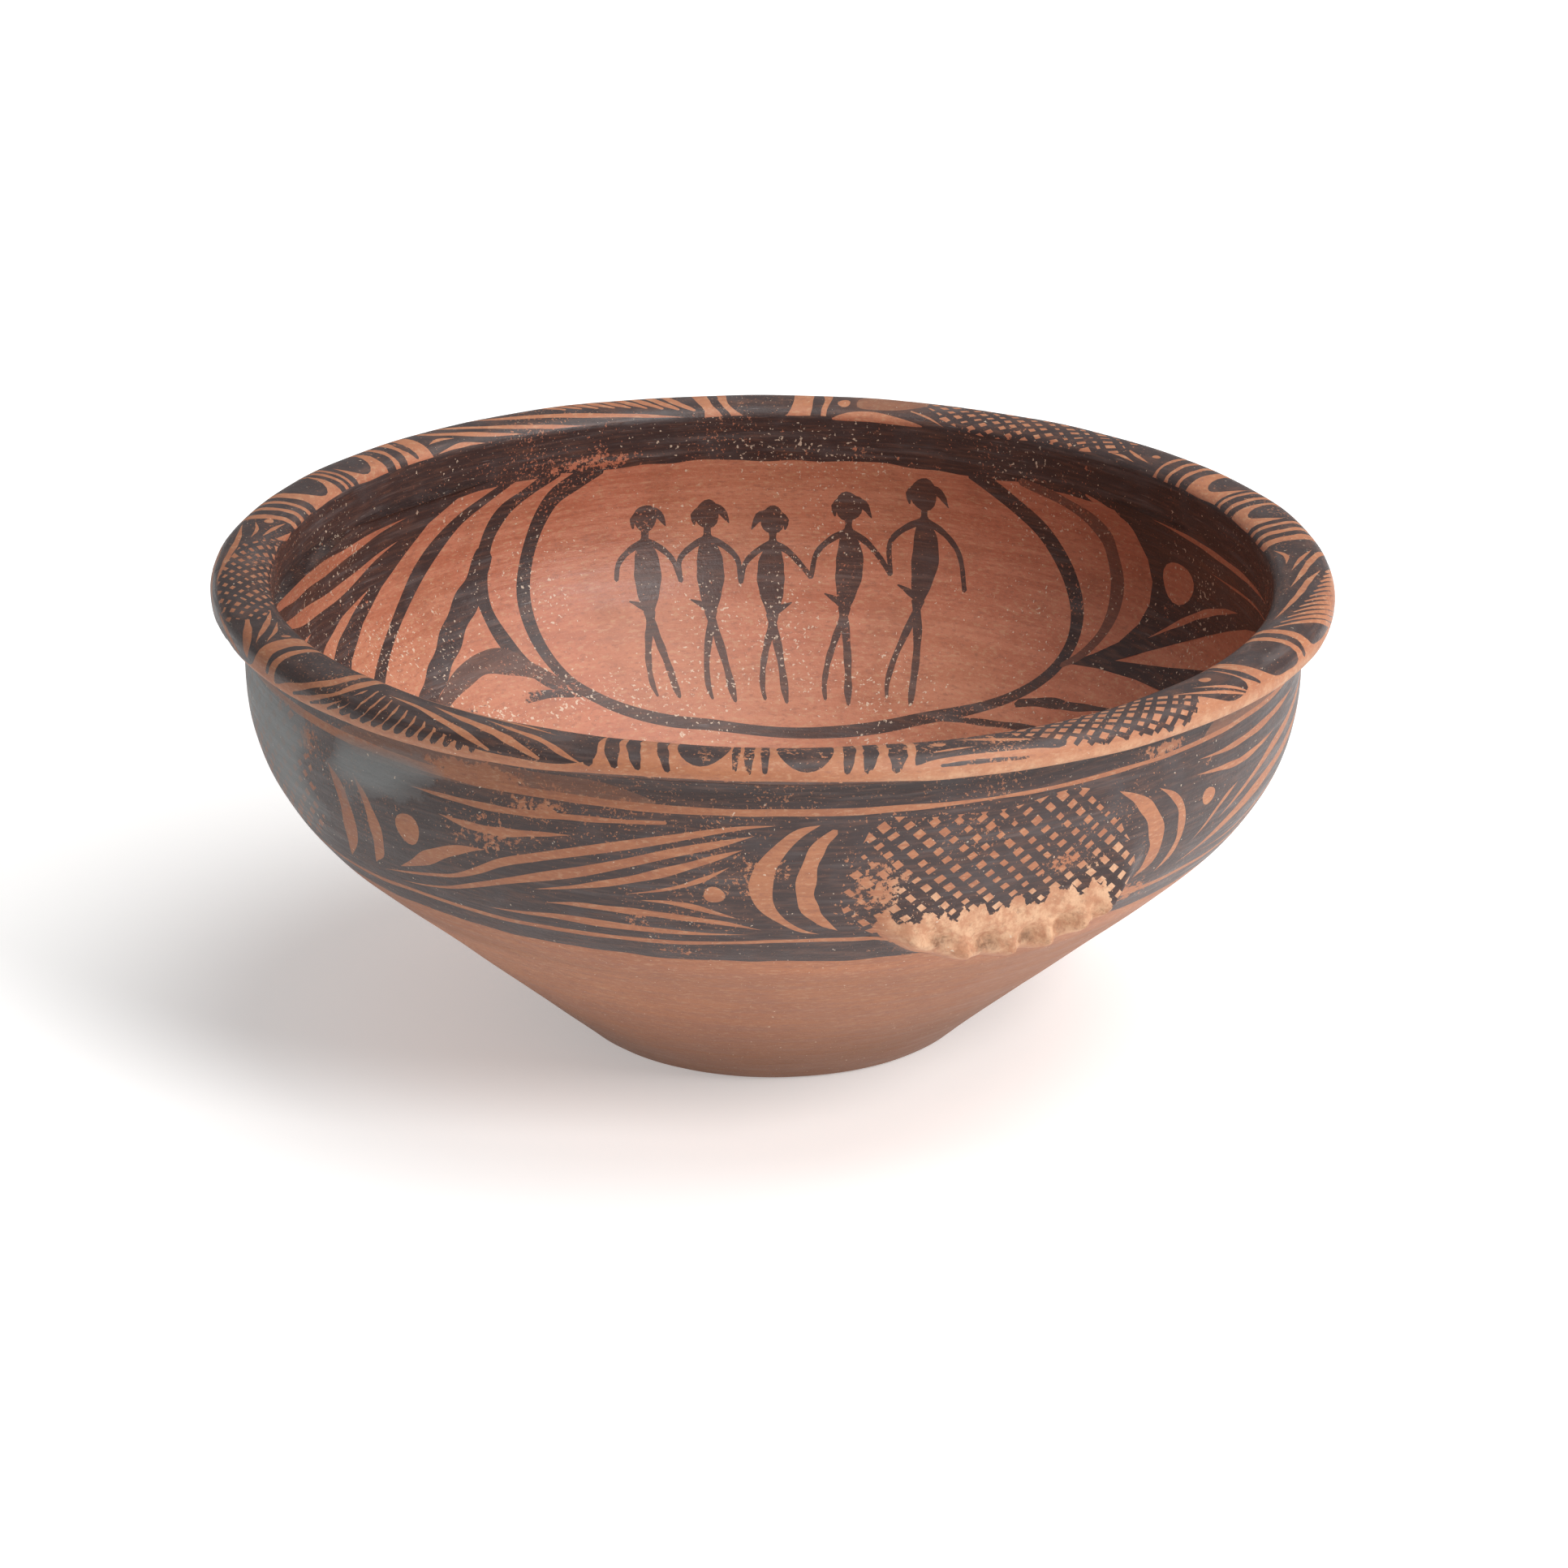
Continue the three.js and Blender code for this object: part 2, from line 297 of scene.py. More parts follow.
class Painting:
    """Outlines in one zone of the chart, with the zone's own way up, and the tone inside each."""

    def __init__(self, height_of):
        self.height_of = height_of
        self.outlines = []

    def chart(self, points):
        """Places in the chart of (azimuth, height) points."""
        p = np.array(points, float)
        p[:, 1] = self.height_of(p[:, 1])
        p[:, 0] *= CHART_SCALE
        return p

    def add(self, outline, tone, margin=0.3):
        x, y = outline[:, 0], outline[:, 1]
        if np.sum(x * np.roll(y, -1) - np.roll(x, -1) * y) < 0:
            outline = outline[::-1]
        self.outlines.append((outline, tone, margin))

    def stroke(self, points, tone=DARK, step=1.5, wobble=0.1):
        """A brush stroke through (azimuth, height, width) points."""
        points = np.array(points, float)
        path = smooth(np.c_[self.chart(points[:, :2]), points[:, 2]], step)
        count = len(path)
        t = np.linspace(0, 1, count)
        phase = rng.uniform(0, 6.28)
        turns = rng.uniform(2, 5)
        half = path[:, 2] / 2 * (1 + wobble * np.sin(phase + turns * 6.28 * t))
        along = np.gradient(path[:, :2], axis=0)
        along /= np.maximum(np.linalg.norm(along, axis=1), 1e-9)[:, None]
        side = np.stack([-along[:, 1], along[:, 0]], axis=1) * half[:, None]
        left = path[:, :2] + side
        right = path[:, :2] - side
        start = path[0, :2] - along[0] * half[0] * 0.8
        end = path[-1, :2] + along[-1] * half[-1] * 0.8
        tip = 0.12
        body = slice(1 if half[0] < tip else 0, count - 1 if half[-1] < tip else count)
        self.add(np.vstack([[start], right[body], [end], left[body][::-1]]), tone)

    def dot(self, phi, v, across, up, tone=CLEAR):
        """A round spot, with its two half sizes in millimetres."""
        centre = self.chart([(phi, v)])[0]
        a = np.linspace(0, 2 * math.pi, 18, endpoint=False)
        wave = 1 + 0.05 * np.sin(3 * a + rng.uniform(0, 6)) + 0.03 * np.sin(2 * a + rng.uniform(0, 6))
        self.add(centre + np.stack([across * wave * np.cos(a), up * wave * np.sin(a)], axis=1), tone)

    def patch(self, points, tone=DARK):
        """A flat area inside a rounded outline through the points."""
        self.add(rounded(self.chart(points)), tone)

    def sharp(self, points, tone=DARK):
        """A flat area with straight sides."""
        self.add(self.chart(points), tone)

    def ring(self, seam, middles, widths, tone, wobble=0.12):
        """A line all round the bowl. middles and widths list (azimuth, value) pairs of one round."""
        phi = np.arange(seam, seam + 360 + 0.01, 1.0)
        middle = periodic(phi, middles)
        half = periodic(phi, widths) / 2
        a = np.radians(phi)
        shake = wobble * (np.sin(13 * a) + 0.6 * np.sin(29 * a + 1) + 0.4 * np.sin(53 * a + 2))
        shake2 = wobble * (np.sin(17 * a + 2) + 0.6 * np.sin(37 * a) + 0.4 * np.sin(61 * a + 1))
        top = np.c_[phi, middle + half + shake]
        bottom = np.c_[phi, middle - half + shake2]
        self.add(self.chart(np.vstack([bottom, top[::-1]])), tone, margin=0)


def smooth(points, step, keep=None):
    """A smooth line through the points, about as finely divided as step."""
    p = np.array(points, float)
    lengths = np.maximum(np.linalg.norm(np.diff(p[:, :2], axis=0), axis=1), 1e-6)
    t = np.r_[0, np.cumsum(lengths)]
    slope = np.gradient(p, t, axis=0) if len(p) > 2 else np.tile((p[1] - p[0]) / t[1], (2, 1))
    first, last = keep or (0, len(p) - 1)
    out = [p[first]]
    for i in range(first, last):
        h = t[i + 1] - t[i]
        count = max(1, round(h / step))
        for u in np.linspace(0, 1, count + 1)[1:]:
            a = (1 + 2 * u) * (1 - u) ** 2
            b = u * (1 - u) ** 2
            c = u * u * (3 - 2 * u)
            d = u * u * (u - 1)
            out.append(a * p[i] + b * h * slope[i] + c * p[i + 1] + d * h * slope[i + 1])
    return np.array(out)


def rounded(loop):
    """A smooth closed outline through the points."""
    closed = np.vstack([loop[-1:], loop, loop[:2]])
    return smooth(closed, 2.0, keep=(1, len(loop) + 1))[:-1]


def periodic(phi, pairs):
    """Value at each azimuth from (azimuth, value) pairs that go once round."""
    x = np.array([p[0] for p in pairs], float) % 360
    v = np.array([p[1] for p in pairs], float)
    order = np.argsort(x)
    x = x[order]
    v = v[order]
    return np.interp(phi % 360, np.r_[x[-1] - 360, x, x[0] + 360], np.r_[v[-1], v, v[0]])


def holds(outline, points):
    """Which points lie inside an outline."""
    x, y = outline[:, 0], outline[:, 1]
    nx, ny = np.roll(x, -1), np.roll(y, -1)
    px, py = points[:, 0][:, None], points[:, 1][:, None]
    crosses = (y > py) != (ny > py)
    at = x + (py - y) * (nx - x) / np.where(ny == y, 1e-12, ny - y)
    return np.sum(crosses & (px < at), axis=1) % 2 == 1


def net(painting, outline, families, overrun):
    """A panel left bare and crossed by two families of dark lines: (angle, spacing, width, shift)."""
    panel = rounded(painting.chart(outline))
    painting.add(panel, CLEAR)
    middle = (panel.min(axis=0) + panel.max(axis=0)) / 2
    reach = np.linalg.norm(panel.max(axis=0) - panel.min(axis=0)) / 2
    for angle, spacing, width, shift in families:
        a = math.radians(angle)
        along = np.array([math.cos(a), math.sin(a)])
        side = np.array([-along[1], along[0]])
        for k in range(-int(reach / spacing) - 1, int(reach / spacing) + 2):
            offset = (k + shift + rng.uniform(-0.06, 0.06)) * spacing
            lean = rng.uniform(-0.02, 0.02)
            t = np.arange(-reach, reach, 0.5)
            points = middle + t[:, None] * along + (offset + lean * t)[:, None] * side
            within = t[holds(panel, points)]
            if len(within) < 3:
                continue
            low, high = within[0] - overrun, within[-1] + overrun
            if high - low < 2.5 * overrun:
                continue
            count = max(2, round((high - low) / 3.0))
            u = np.linspace(low, high, count + 1)
            phase = rng.uniform(0, 6.28)
            half = width / 2 * (1 + 0.16 * np.sin(phase + u / 3.1) + rng.uniform(-0.1, 0.1))
            mid = middle + u[:, None] * along + (offset + lean * u)[:, None] * side
            edge = half[:, None] * side
            painting.add(np.vstack([mid - edge, (mid + edge)[::-1]]), DARK)


def outer_painting():
    """The band of slip round the belly: bare crescents, leaves, spots and nets on a dark ground."""
    paint = Painting(lambda z: section.outer(z) + np.maximum(z - 116.4, 0))
    seam = 230 + COLUMN_SHIFT
    paint.ring(seam, [(0, 97.7)], [(0, 66)], DARK, wobble=0.25)
    paint.patch([(-50, 108.6), (-44, 108.2), (-36, 109.2), (-28, 109.8), (-18, 110.6), (-12, 112.4),
                 (-16, 115.6), (-26, 116.6), (-38, 116.8), (-48, 116.2), (-52, 112)], 0.66)
    paint.patch([(52, 111.6), (60, 111.8), (68, 112.6), (70, 114.6), (62, 115.8), (54, 114.8)], 0.6)
    under_lip = [(-86, 2.2), (-50, 2.4), (-30, 2.2), (0, 2.0), (15, 1.6), (24, 0.8), (40, 1.2), (70, 1.4)]
    bottom = [(-73, 70.0), (-50, 70.2), (-45, 71.1), (-40, 70.8), (-30, 70.6), (-20, 71.0), (-10, 71.4)]
    bottom += [(-5, 71.9), (0, 72.7), (5, 73.1), (10, 72.8), (24, 72.4), (40, 71.9), (50, 71.5), (70, 71.0)]

    def both(pairs):
        return pairs + moved(pairs, 180)

    paint.ring(seam, [(0, 111.0)], both(under_lip), CLEAR, wobble=0.1)
    paint.ring(seam, both(bottom), both([(-73, 1.2), (-20, 1.5), (0, 1.1), (40, 1.6), (70, 1.2)]), CLEAR,
               wobble=0.08)
    leaves = [
        # left fan, upper leaves
        [(-44.6, 79, 0), (-42, 82, 2.2), (-39, 86, 4.0), (-36, 89.6, 3.2), (-33.5, 91.6, 1.6),
         (-31.2, 92.7, 0)],
        [(-48, 75.6, 0), (-44, 77.6, 0.8), (-40, 79.8, 1.0), (-36, 82.2, 1.2), (-32.5, 86, 2.0),
         (-30, 89.3, 2.4), (-25, 93.7, 2.7), (-20, 97.3, 2.6), (-15, 100.5, 2.4), (-10, 103.5, 1.9),
         (-5, 106.2, 1.4), (-2.5, 107.1, 0.9), (0.4, 107.6, 0)],
        [(-46, 73.6, 0), (-42, 74.9, 0.6), (-38, 77, 0.9), (-34, 80.3, 1.5), (-30, 83.8, 2.0),
         (-25, 87.9, 2.6), (-20, 91.6, 2.7), (-15, 95.6, 2.8), (-10, 99.6, 2.3), (-5, 102.8, 1.5),
         (-1.8, 104.9, 0)],
        [(-26, 83.7, 0), (-23, 85.4, 0.8), (-20, 87.3, 1.4), (-15, 90.7, 2.2), (-10, 94.8, 2.4),
         (-6, 98.5, 1.6), (-3, 101.1, 0)],
        [(-15.5, 86.4, 0), (-12, 88.2, 0.7), (-9.5, 90, 1.1), (-7, 92.6, 1.3), (-4.4, 96.2, 0)],
        # left fan, lower leaves
        [(-14, 84.9, 0), (-11, 84.8, 1.2), (-8.5, 83.9, 1.7), (-6, 82.2, 1.3), (-3.8, 80.6, 0)],
        [(-25, 79.9, 0), (-22, 80.9, 1.2), (-18, 81.2, 1.9), (-14, 81, 2.2), (-10, 80.2, 1.9),
         (-5, 78.8, 1.4), (-1.2, 76.7, 0)],
        [(-33, 73.9, 0), (-28, 74.8, 1.2), (-24, 75.7, 2.2), (-19, 75.7, 2.6), (-13, 75.3, 2.2),
         (-8, 75.0, 1.0), (-2.5, 75.0, 0)],
        # left fan, leaves along the top
        [(-41, 104.9, 0), (-35, 104.8, 1.4), (-28, 105, 1.8), (-22, 105.9, 1.7), (-16, 106.6, 1.2),
         (-11, 107.3, 0.9)],
        [(-37, 99.6, 0), (-33, 98.6, 2.0), (-29, 98.8, 2.3), (-25, 100.1, 1.5), (-21, 101.3, 0)],
        # crescents right of the far net
        [(-54.4, 101.8, 0), (-52.4, 96, 4.0), (-51.6, 89, 5.4), (-52.2, 82, 4.6), (-54.4, 74.8, 0)],
        [(-49.8, 102.2, 0), (-47.8, 96, 2.8), (-46.9, 89, 4.4), (-47.4, 82, 3.6), (-49.2, 76.8, 0)],
        # crescents left of the near net
        [(4.9, 107.7, 0), (2.8, 105.7, 2.2), (0.7, 101, 4.0), (-0.8, 95.5, 5.0), (-1.25, 90, 5.5),
         (-0.8, 85, 4.8), (0.9, 80, 2.2), (3.2, 76.4, 1.0), (5, 75.2, 0)],
        [(6.4, 105.8, 1.6), (5.1, 103, 3.2), (4.0, 98, 4.0), (3.5, 93, 4.7), (3.35, 88, 4.8),
         (3.9, 83.5, 4.4), (5.2, 79.5, 2.8), (7, 76.2, 0)],
        # crescents right of the near net
        [(38.8, 105.5, 0), (41.5, 101.5, 3.0), (43.5, 96.5, 4.6), (44.7, 91, 5.2), (45.2, 86, 5.0),
         (44.8, 81, 3.8), (43.1, 76.9, 0)],
        [(44.6, 102.8, 0), (46.8, 99.3, 1.8), (48.3, 95, 2.6), (48.9, 90, 2.7), (49.1, 85.5, 2.4),
         (48.5, 80.5, 2.0), (46.8, 76.2, 0)],
        # right fan
        [(52, 82, 0), (54, 85.8, 1.0), (55.5, 89, 1.4), (57.5, 91.9, 1.3), (59.4, 93.8, 0)],
        [(56.4, 85, 0), (60, 88.8, 1.3), (64, 92.7, 2.2), (68, 96.4, 2.8), (73, 99, 2.8), (79, 101.6, 1.8),
         (84.5, 104.4, 0)],
        [(50.6, 75.4, 0), (55, 78.5, 1.2), (59, 81.8, 3.2), (63, 84.7, 4.4), (68, 88, 4.6), (73, 91, 4.2),
         (78, 93.6, 2.6), (83.5, 97.2, 0)],
        [(56, 75.4, 0), (62, 75.7, 0.8), (68, 77.2, 1.6), (74, 80.4, 2.4), (79, 84.2, 2.0), (83, 88.4, 0)],
        [(64, 73.6, 0), (70, 74.2, 1.2), (76, 76.2, 2.0), (81, 79.2, 1.4), (84.5, 82.4, 0)],
        [(50.6, 102.2, 0), (55, 100.8, 1.3), (59, 99.7, 1.9), (64, 100.3, 1.3), (68.4, 101.3, 0)],
        [(51, 106.2, 0), (56, 105.3, 1.2), (62, 105.5, 1.9), (67, 106, 1.9), (71, 106.2, 1.3),
         (75.4, 106.4, 0)],
        # crescents left of the far net, on its other side
        [(91.6, 107.2, 0), (88.9, 103, 2.6), (87.5, 97, 4.2), (87.1, 90, 4.8), (87.6, 84, 4.0),
         (89, 79.5, 2.4), (91.4, 76, 0)],
        [(94.6, 105, 0), (92.4, 100, 2.2), (91.5, 93, 3.4), (91.5, 86, 3.6), (92.6, 80, 2.4),
         (94.6, 76.2, 0)]]
    spots = [(-41.6, 92.4, 4.0, 4.6), (-6.1, 87.9, 2.8, 2.4), (53.2, 94.5, 2.8, 2.5), (83, 92.4, 2.4, 2.4)]
    near_net = [(10.4, 107.2), (17, 107.9), (24, 107.6), (35.8, 107.2), (38.2, 101.5), (39.6, 94.6),
                (41.3, 87), (41.4, 79), (38, 73.5), (24, 72), (12, 73.5), (8.2, 79), (7.1, 85), (7.2, 90),
                (8.0, 96), (9.2, 102)]
    far_net = [(-84.5, 107.4), (-72, 107.8), (-60.5, 107.2), (-58.2, 100), (-57.4, 91), (-57.6, 82),
               (-60, 76), (-72, 75), (-83, 76.2), (-85.6, 83), (-86.2, 92), (-85.8, 101)]
    for turn in (0, 180):
        for points in leaves:
            paint.stroke(moved(points, turn), CLEAR)
        for phi, z, across, up in spots:
            paint.dot(phi + turn, z, across, up)
        net(paint, moved(near_net, turn), [(34, 3.64, 1.85, 0.2), (-47, 4.55, 2.45, 0.1)], overrun=0.5)
        net(paint, moved(far_net, turn), [(38, 3.9, 2.0, 0.4), (-44, 4.7, 2.3, 0.3)], overrun=0.5)
    return paint, seam


def moved(points, turn):
    """The same points further round the bowl."""
    return [(phi + turn, *rest) for phi, *rest in points]


def rim_painting():
    """The top of the lip: stripes, round-ended blocks, leaves, ladders and nets."""
    paint = Painting(section.rim)
    seam = -59.0 + COLUMN_SHIFT
    top = 24.2
    # slip of the neck inside, up to the lip's inner edge
    paint.ring(seam, [(0, 31.0)], [(0, 14.2)], DARK, wobble=0.22)
    # and the slip of the neck outside, over the lip's lower corner
    corner = [(-60, 0.5), (-30, 0.8), (-24, 1.8), (-18, 3.6), (-8, 4.3), (4, 4.1), (12, 3.3), (18, 1.5),
              (26, 0.4), (60, 0.4)]
    corner += [(80, 0.6), (90, 3.0), (180, 3.0), (270, 3.0), (290, 1.6)]
    paint.ring(seam, [(0, -1.0)], [(phi, 2 * v) for phi, v in corner], 0.9, wobble=0.15)

    def bar(phi, width, low, lean=0.0, bow=0.0):
        """A stripe over the lip, tapering towards its outer end."""
        wide = width * 2.5
        paint.stroke([(phi, top, wide), (phi + bow, 16, wide),
                      (phi + bow * 0.6 + lean * 0.45, 11, wide * 0.92), (phi + lean, low, wide * 0.45)])

    def bars(rows, *shape):
        for row in rows:
            bar(*row, *shape)

    def block(phi, half, low, high=top):
        """A block with one round end: hanging from the inner edge, or standing on the outer one."""
        a = np.linspace(0, math.pi, 13)
        depth = (high - low) * 0.62
        sign = 1 if high > low else -1
        arc = [(phi + half * math.cos(t), low + sign * abs(depth) * (1 - math.sin(t))) for t in a]
        ends = [(phi - half, high), (phi + half, high)]
        paint.sharp(ends + arc)

    def leaf(*points):
        """A bare leaf in a dark ground."""
        paint.stroke(points, CLEAR)

    # front: stripes and hanging half rounds
    for phi, width, lean in ((-18.9, 1.9, 1.0), (-16.5, 1.5, 1.2), (-14.3, 1.35, 1.3), (-11.3, 1.1, 1.2)):
        bar(phi, width, 5.8, lean, 0.05)
    block(-7.0, 2.75, 7.8)
    bars([(-3.65, 0.75, 6.8), (-2.35, 1.0, 6.0), (-0.75, 0.85, 6.4)])
    block(3.3, 2.95, 6.6)
    for phi, width, lean in ((7.7, 1.2, -0.6), (9.9, 1.5, -0.8), (12.6, 1.9, -0.7)):
        bar(phi, width, 6.2, lean, 0.1)
    # front right: spot and leaves, then a net
    paint.patch([(14.7, 25.5), (20, 25.5), (26, 25.5), (31, 25.5), (31, 14), (29.5, 7.4), (26.5, 8.2),
                 (22, 9), (18, 9), (15.2, 8.2), (13.8, 7.2), (14.3, 12), (14.7, 18)])
    paint.dot(17.0, 15.3, 1.8, 1.25)
    leaf((16, 11.2, 0.4), (18.2, 11.8, 0.9), (20.6, 12.1, 0))
    leaf((19, 17.8, 0), (22, 15.6, 1.6), (24.5, 13.4, 1.5), (27.5, 11.2, 0))
    leaf((21.5, 22.5, 0), (25, 20.5, 1.4), (29, 17.5, 0))
    paint.stroke([(16.4, 6.6, 0.9), (20, 6.7, 1.4), (25.4, 5.9, 0.9)])
    net(paint, [(25.5, 19), (29, 22), (36, 22.5), (43, 21.5), (47.6, 15), (47.2, 9), (46, 6.2), (38, 5.6),
                (32, 6.6), (28, 10), (25.4, 15)],
        [(40, 3.3, 1.55, 0.2), (-32, 3.3, 1.5, 0.1)], overrun=0.6)
    paint.patch([(42.5, 25.5), (50, 25.5), (54.2, 25.5), (54.3, 14), (54.8, 7), (52, 5.5), (49.4, 8),
                 (47, 12), (45.2, 16), (43.2, 20)])
    leaf((45.6, 15, 0), (48.5, 11.4, 1.0), (51.5, 8.3, 1.0), (54.2, 5.6, 0.3))
    leaf((48.6, 14.6, 0), (51, 11.2, 1.0), (53, 8.4, 0.9), (54.6, 6, 0.2))
    paint.dot(51.5, 15.7, 1.7, 1.5)
    paint.stroke([(55.2, 24.4, 2.4), (55.1, 15, 2.4), (55.6, 10.5, 2.4), (57, 6.6, 0.8)])
    # right: a broad block, two stripes, then a ladder of slanted strokes
    paint.patch([(57.2, 25.4), (61, 25.5), (65, 25.4), (65.3, 18), (65.6, 12), (65.6, 5.8), (62.5, 5.2),
                 (60, 6), (58.2, 9.5), (57.4, 15), (57.1, 20)])
    bar(67.1, 1.35, 5.6, 0.2, 0.1)
    paint.patch([(68.9, 25.4), (78, 25.4), (88, 25.4), (98, 25.4), (98.2, 20), (98.6, 12), (100, 6),
                 (102, 1.2), (92, 0.8), (84, 1.4), (78, 4.4), (72, 5.2), (69.8, 6.4), (69.3, 12),
                 (69.1, 18)])
    for k in range(12):
        phi = 69.8 + 1.75 * k
        high = 17.6 - 0.75 * k
        depth = high - 1.0
        paint.stroke([(phi, high, 0.6), (phi + 2.8, high - 0.36 * depth, 1.35),
                      (phi + 6.6, high - 0.7 * depth, 1.4), (phi + 10.4, 1.8, 0.9)], CLEAR)
    leaf((72.5, 19.6, 0), (77, 17.8, 1.2), (81, 16, 1.7), (85, 14.2, 1.6), (89, 10.8, 0))
    leaf((83, 18.8, 0), (87, 16.2, 1.4), (91, 13.4, 1.8), (95, 9.2, 1.5), (97.4, 5.4, 0.6))
    leaf((88.5, 18.6, 0), (92, 15.6, 1.3), (95.4, 11.4, 0))
    leaf((91, 19.6, 0), (93.4, 18.9, 1.3), (96.4, 21.4, 0))
    # right, towards the back: stripes and standing half rounds
    bars([(100.4, 1.15), (102.6, 1.25), (104.5, 0.95)], 1.0, 1.6, -0.1)
    block(107.7, 2.5, 20.9, 1.0)
    bars([(111.1, 1.2), (113.2, 1.3), (114.8, 0.6)], 1.0, 0.6)
    block(117.9, 2.65, 20.9, 1.0)
    bars([(122.3, 1.4), (124.5, 1.5), (126.7, 1.5)], 1.0, 0.4, 0.3)
    # back right: spot, leaves and a net
    paint.patch([(128.2, 25.4), (136, 25.4), (150, 25.8), (160, 25.8), (164.5, 25.6), (173.4, 25.4),
                 (173.1, 15), (173.1, 1), (165, 0.8), (150, 0.8), (138, 0.8), (128.6, 1), (128.4, 15)])
    paint.dot(130.5, 16.3, 1.3, 1.0)
    leaf((130, 20.4, 0), (132.5, 19, 1.1), (135.4, 16.6, 0))
    leaf((132, 21.8, 0), (134.5, 20.9, 0.9), (136, 21.2, 0))
    net(paint, [(134.6, 19), (138, 22.5), (146, 23.6), (155, 24.8), (159, 22), (162, 18), (163, 12),
                (160, 7), (150, 6.2), (140, 7), (135, 12)],
        [(30, 3.1, 1.7, 0.2), (-36, 3.3, 1.8, 0.3)], overrun=0.6)
    paint.patch([(162, 15), (164, 18.6), (167, 20), (170, 19), (170, 14), (167, 8), (163, 8)], 0.55)
    leaf((158.8, 24.2, 0), (161, 21.6, 0.7), (163.4, 19.4, 0.5))
    paint.patch([(161.6, 24.6), (165, 22.4), (168.4, 21), (171, 22), (172.8, 24.2), (168, 24.8)], CLEAR)
    paint.dot(171.6, 17.4, 1.8, 2.2)
    leaf((164.5, 12, 0), (168, 9, 1.5), (171.5, 8, 0))
    bar(174.8, 1.2, 1.0, 0.2, -0.2)
    # back: a broad block, a stripe, then a ladder under a long leaf
    paint.patch([(178.2, 23.4), (180.5, 24.8), (183.6, 23.8), (185.1, 20), (185.3, 13), (184.8, 1),
                 (181, 0.8), (178, 1), (177.5, 13), (177.6, 19)])
    paint.stroke([(185.4, 24.4, 2.0), (186.6, 19.5, 2.4), (186.9, 13, 2.6), (186.6, 2, 2.0)])
    paint.patch([(188.4, 25.4), (196, 25.4), (206, 25.4), (216, 25.4), (224.8, 25.2), (225.0, 17),
                 (224.9, 1), (216, 0.8), (206, 0.8), (196, 0.8), (189.2, 1), (189.2, 12), (188.8, 18),
                 (188.2, 22)])
    for k in range(9):
        phi = 189.4 + 1.9 * k
        high = 21.6 - 0.75 * k
        paint.stroke([(phi, high, 0.9), (phi + 1.6, high - 3.4, 2.3), (phi + 2.5, high - 7, 2.5),
                      (phi + 2.9, 2, 2.0)], CLEAR)
    leaf((190.6, 23.9, 0), (196, 22.5, 1.2), (200, 21.3, 1.6), (205, 19.2, 2.2), (210, 16.6, 2.2),
         (214.5, 13, 1.4), (217, 9, 0))
    leaf((203.4, 23.8, 0), (208, 22.6, 1.3), (213, 20.2, 1.6), (217, 17, 1.6), (220, 12.8, 1.4),
         (222, 8, 0))
    leaf((211.6, 23.5, 0), (216, 21.6, 1.6), (220, 18, 2.0), (222.6, 14, 1.6), (224, 9, 0))
    leaf((217, 23.8, 0), (220.5, 22.8, 1.4), (224.2, 23.6, 0))
    leaf((220.6, 20, 0), (222.6, 18.7, 1.4), (224.4, 19.6, 0))
    # back left: stripes and standing half rounds
    paint.stroke([(227.3, 22.9, 1.2), (227.6, 17, 2.7), (227.3, 10, 1.0)])
    bars([(229.8, 1.3), (232.0, 1.5)], 1.0, 0.5, -0.3)
    block(236.0, 2.7, 22.2, 1.0)
    bars([(238.9, 0.9), (240.2, 0.6), (241.6, 0.9)], 1.0, 0.2, 0.1)
    block(245.2, 2.9, 22.2, 1.0)
    bars([(249.5, 1.35), (251.7, 1.35), (254.1, 1.5)], 1.0, 1.0, 0.6)
    # left: spot, leaves and a net
    paint.patch([(256, 25.4), (262, 25.6), (272, 25.6), (284, 25.6), (295.6, 25.2), (296.3, 18),
                 (296.6, 10), (296.4, 5), (291, 2.2), (274, 0.8), (262, 0.8), (257.4, 1), (257, 14)])
    paint.dot(257.4, 17.2, 1.6, 1.3)
    leaf((256.6, 21.4, 0), (259.5, 19.6, 1.2), (262.4, 18.3, 0))
    leaf((258, 13.8, 0), (260.4, 15.8, 1.0), (263.4, 15.6, 0))
    leaf((257.2, 24, 0), (259.4, 23.8, 1.6), (261.4, 22.2, 0.6))
    net(paint, [(262, 22), (266, 24), (275, 24), (284, 22), (288.5, 17), (290, 12), (288, 8.4), (280, 8),
                (270, 12), (263.6, 17)],
        [(30, 3.1, 1.75, 0.4), (-36, 3.3, 1.85, 0.1)], overrun=0.6)
    leaf((258.5, 10.6, 0), (264, 12.4, 1.6), (270, 11.2, 1.6), (277, 8.2, 0))
    leaf((259, 6.6, 0), (266, 7.6, 1.6), (274, 6.4, 1.6), (282, 4.6, 0))
    leaf((262, 3.4, 0), (272, 3.8, 1.4), (282, 2.6, 0))
    leaf((283, 6.6, 0), (288, 5, 1.4), (292, 3.2, 0.6))
    leaf((286.6, 19.9, 0), (290, 17, 1.4), (293, 13, 1.5), (295.2, 8.8, 0))
    leaf((290.4, 19.2, 0), (294, 15.4, 1.1), (296.2, 11, 0))
    leaf((289, 12, 1.0), (291.8, 9.6, 2.6), (294, 6.4, 3.0), (294.6, 4.6, 1.0))
    paint.dot(295.5, 17.2, 0.9, 1.3)
    bar(299.6, 1.2, 4.6)
    paint.patch([(301.4, 25.4), (305, 25.6), (309.4, 25.2), (309.9, 18), (309.6, 12), (307.6, 8.4),
                 (304, 5.4), (301, 3.6), (301.1, 6), (301.3, 12)])
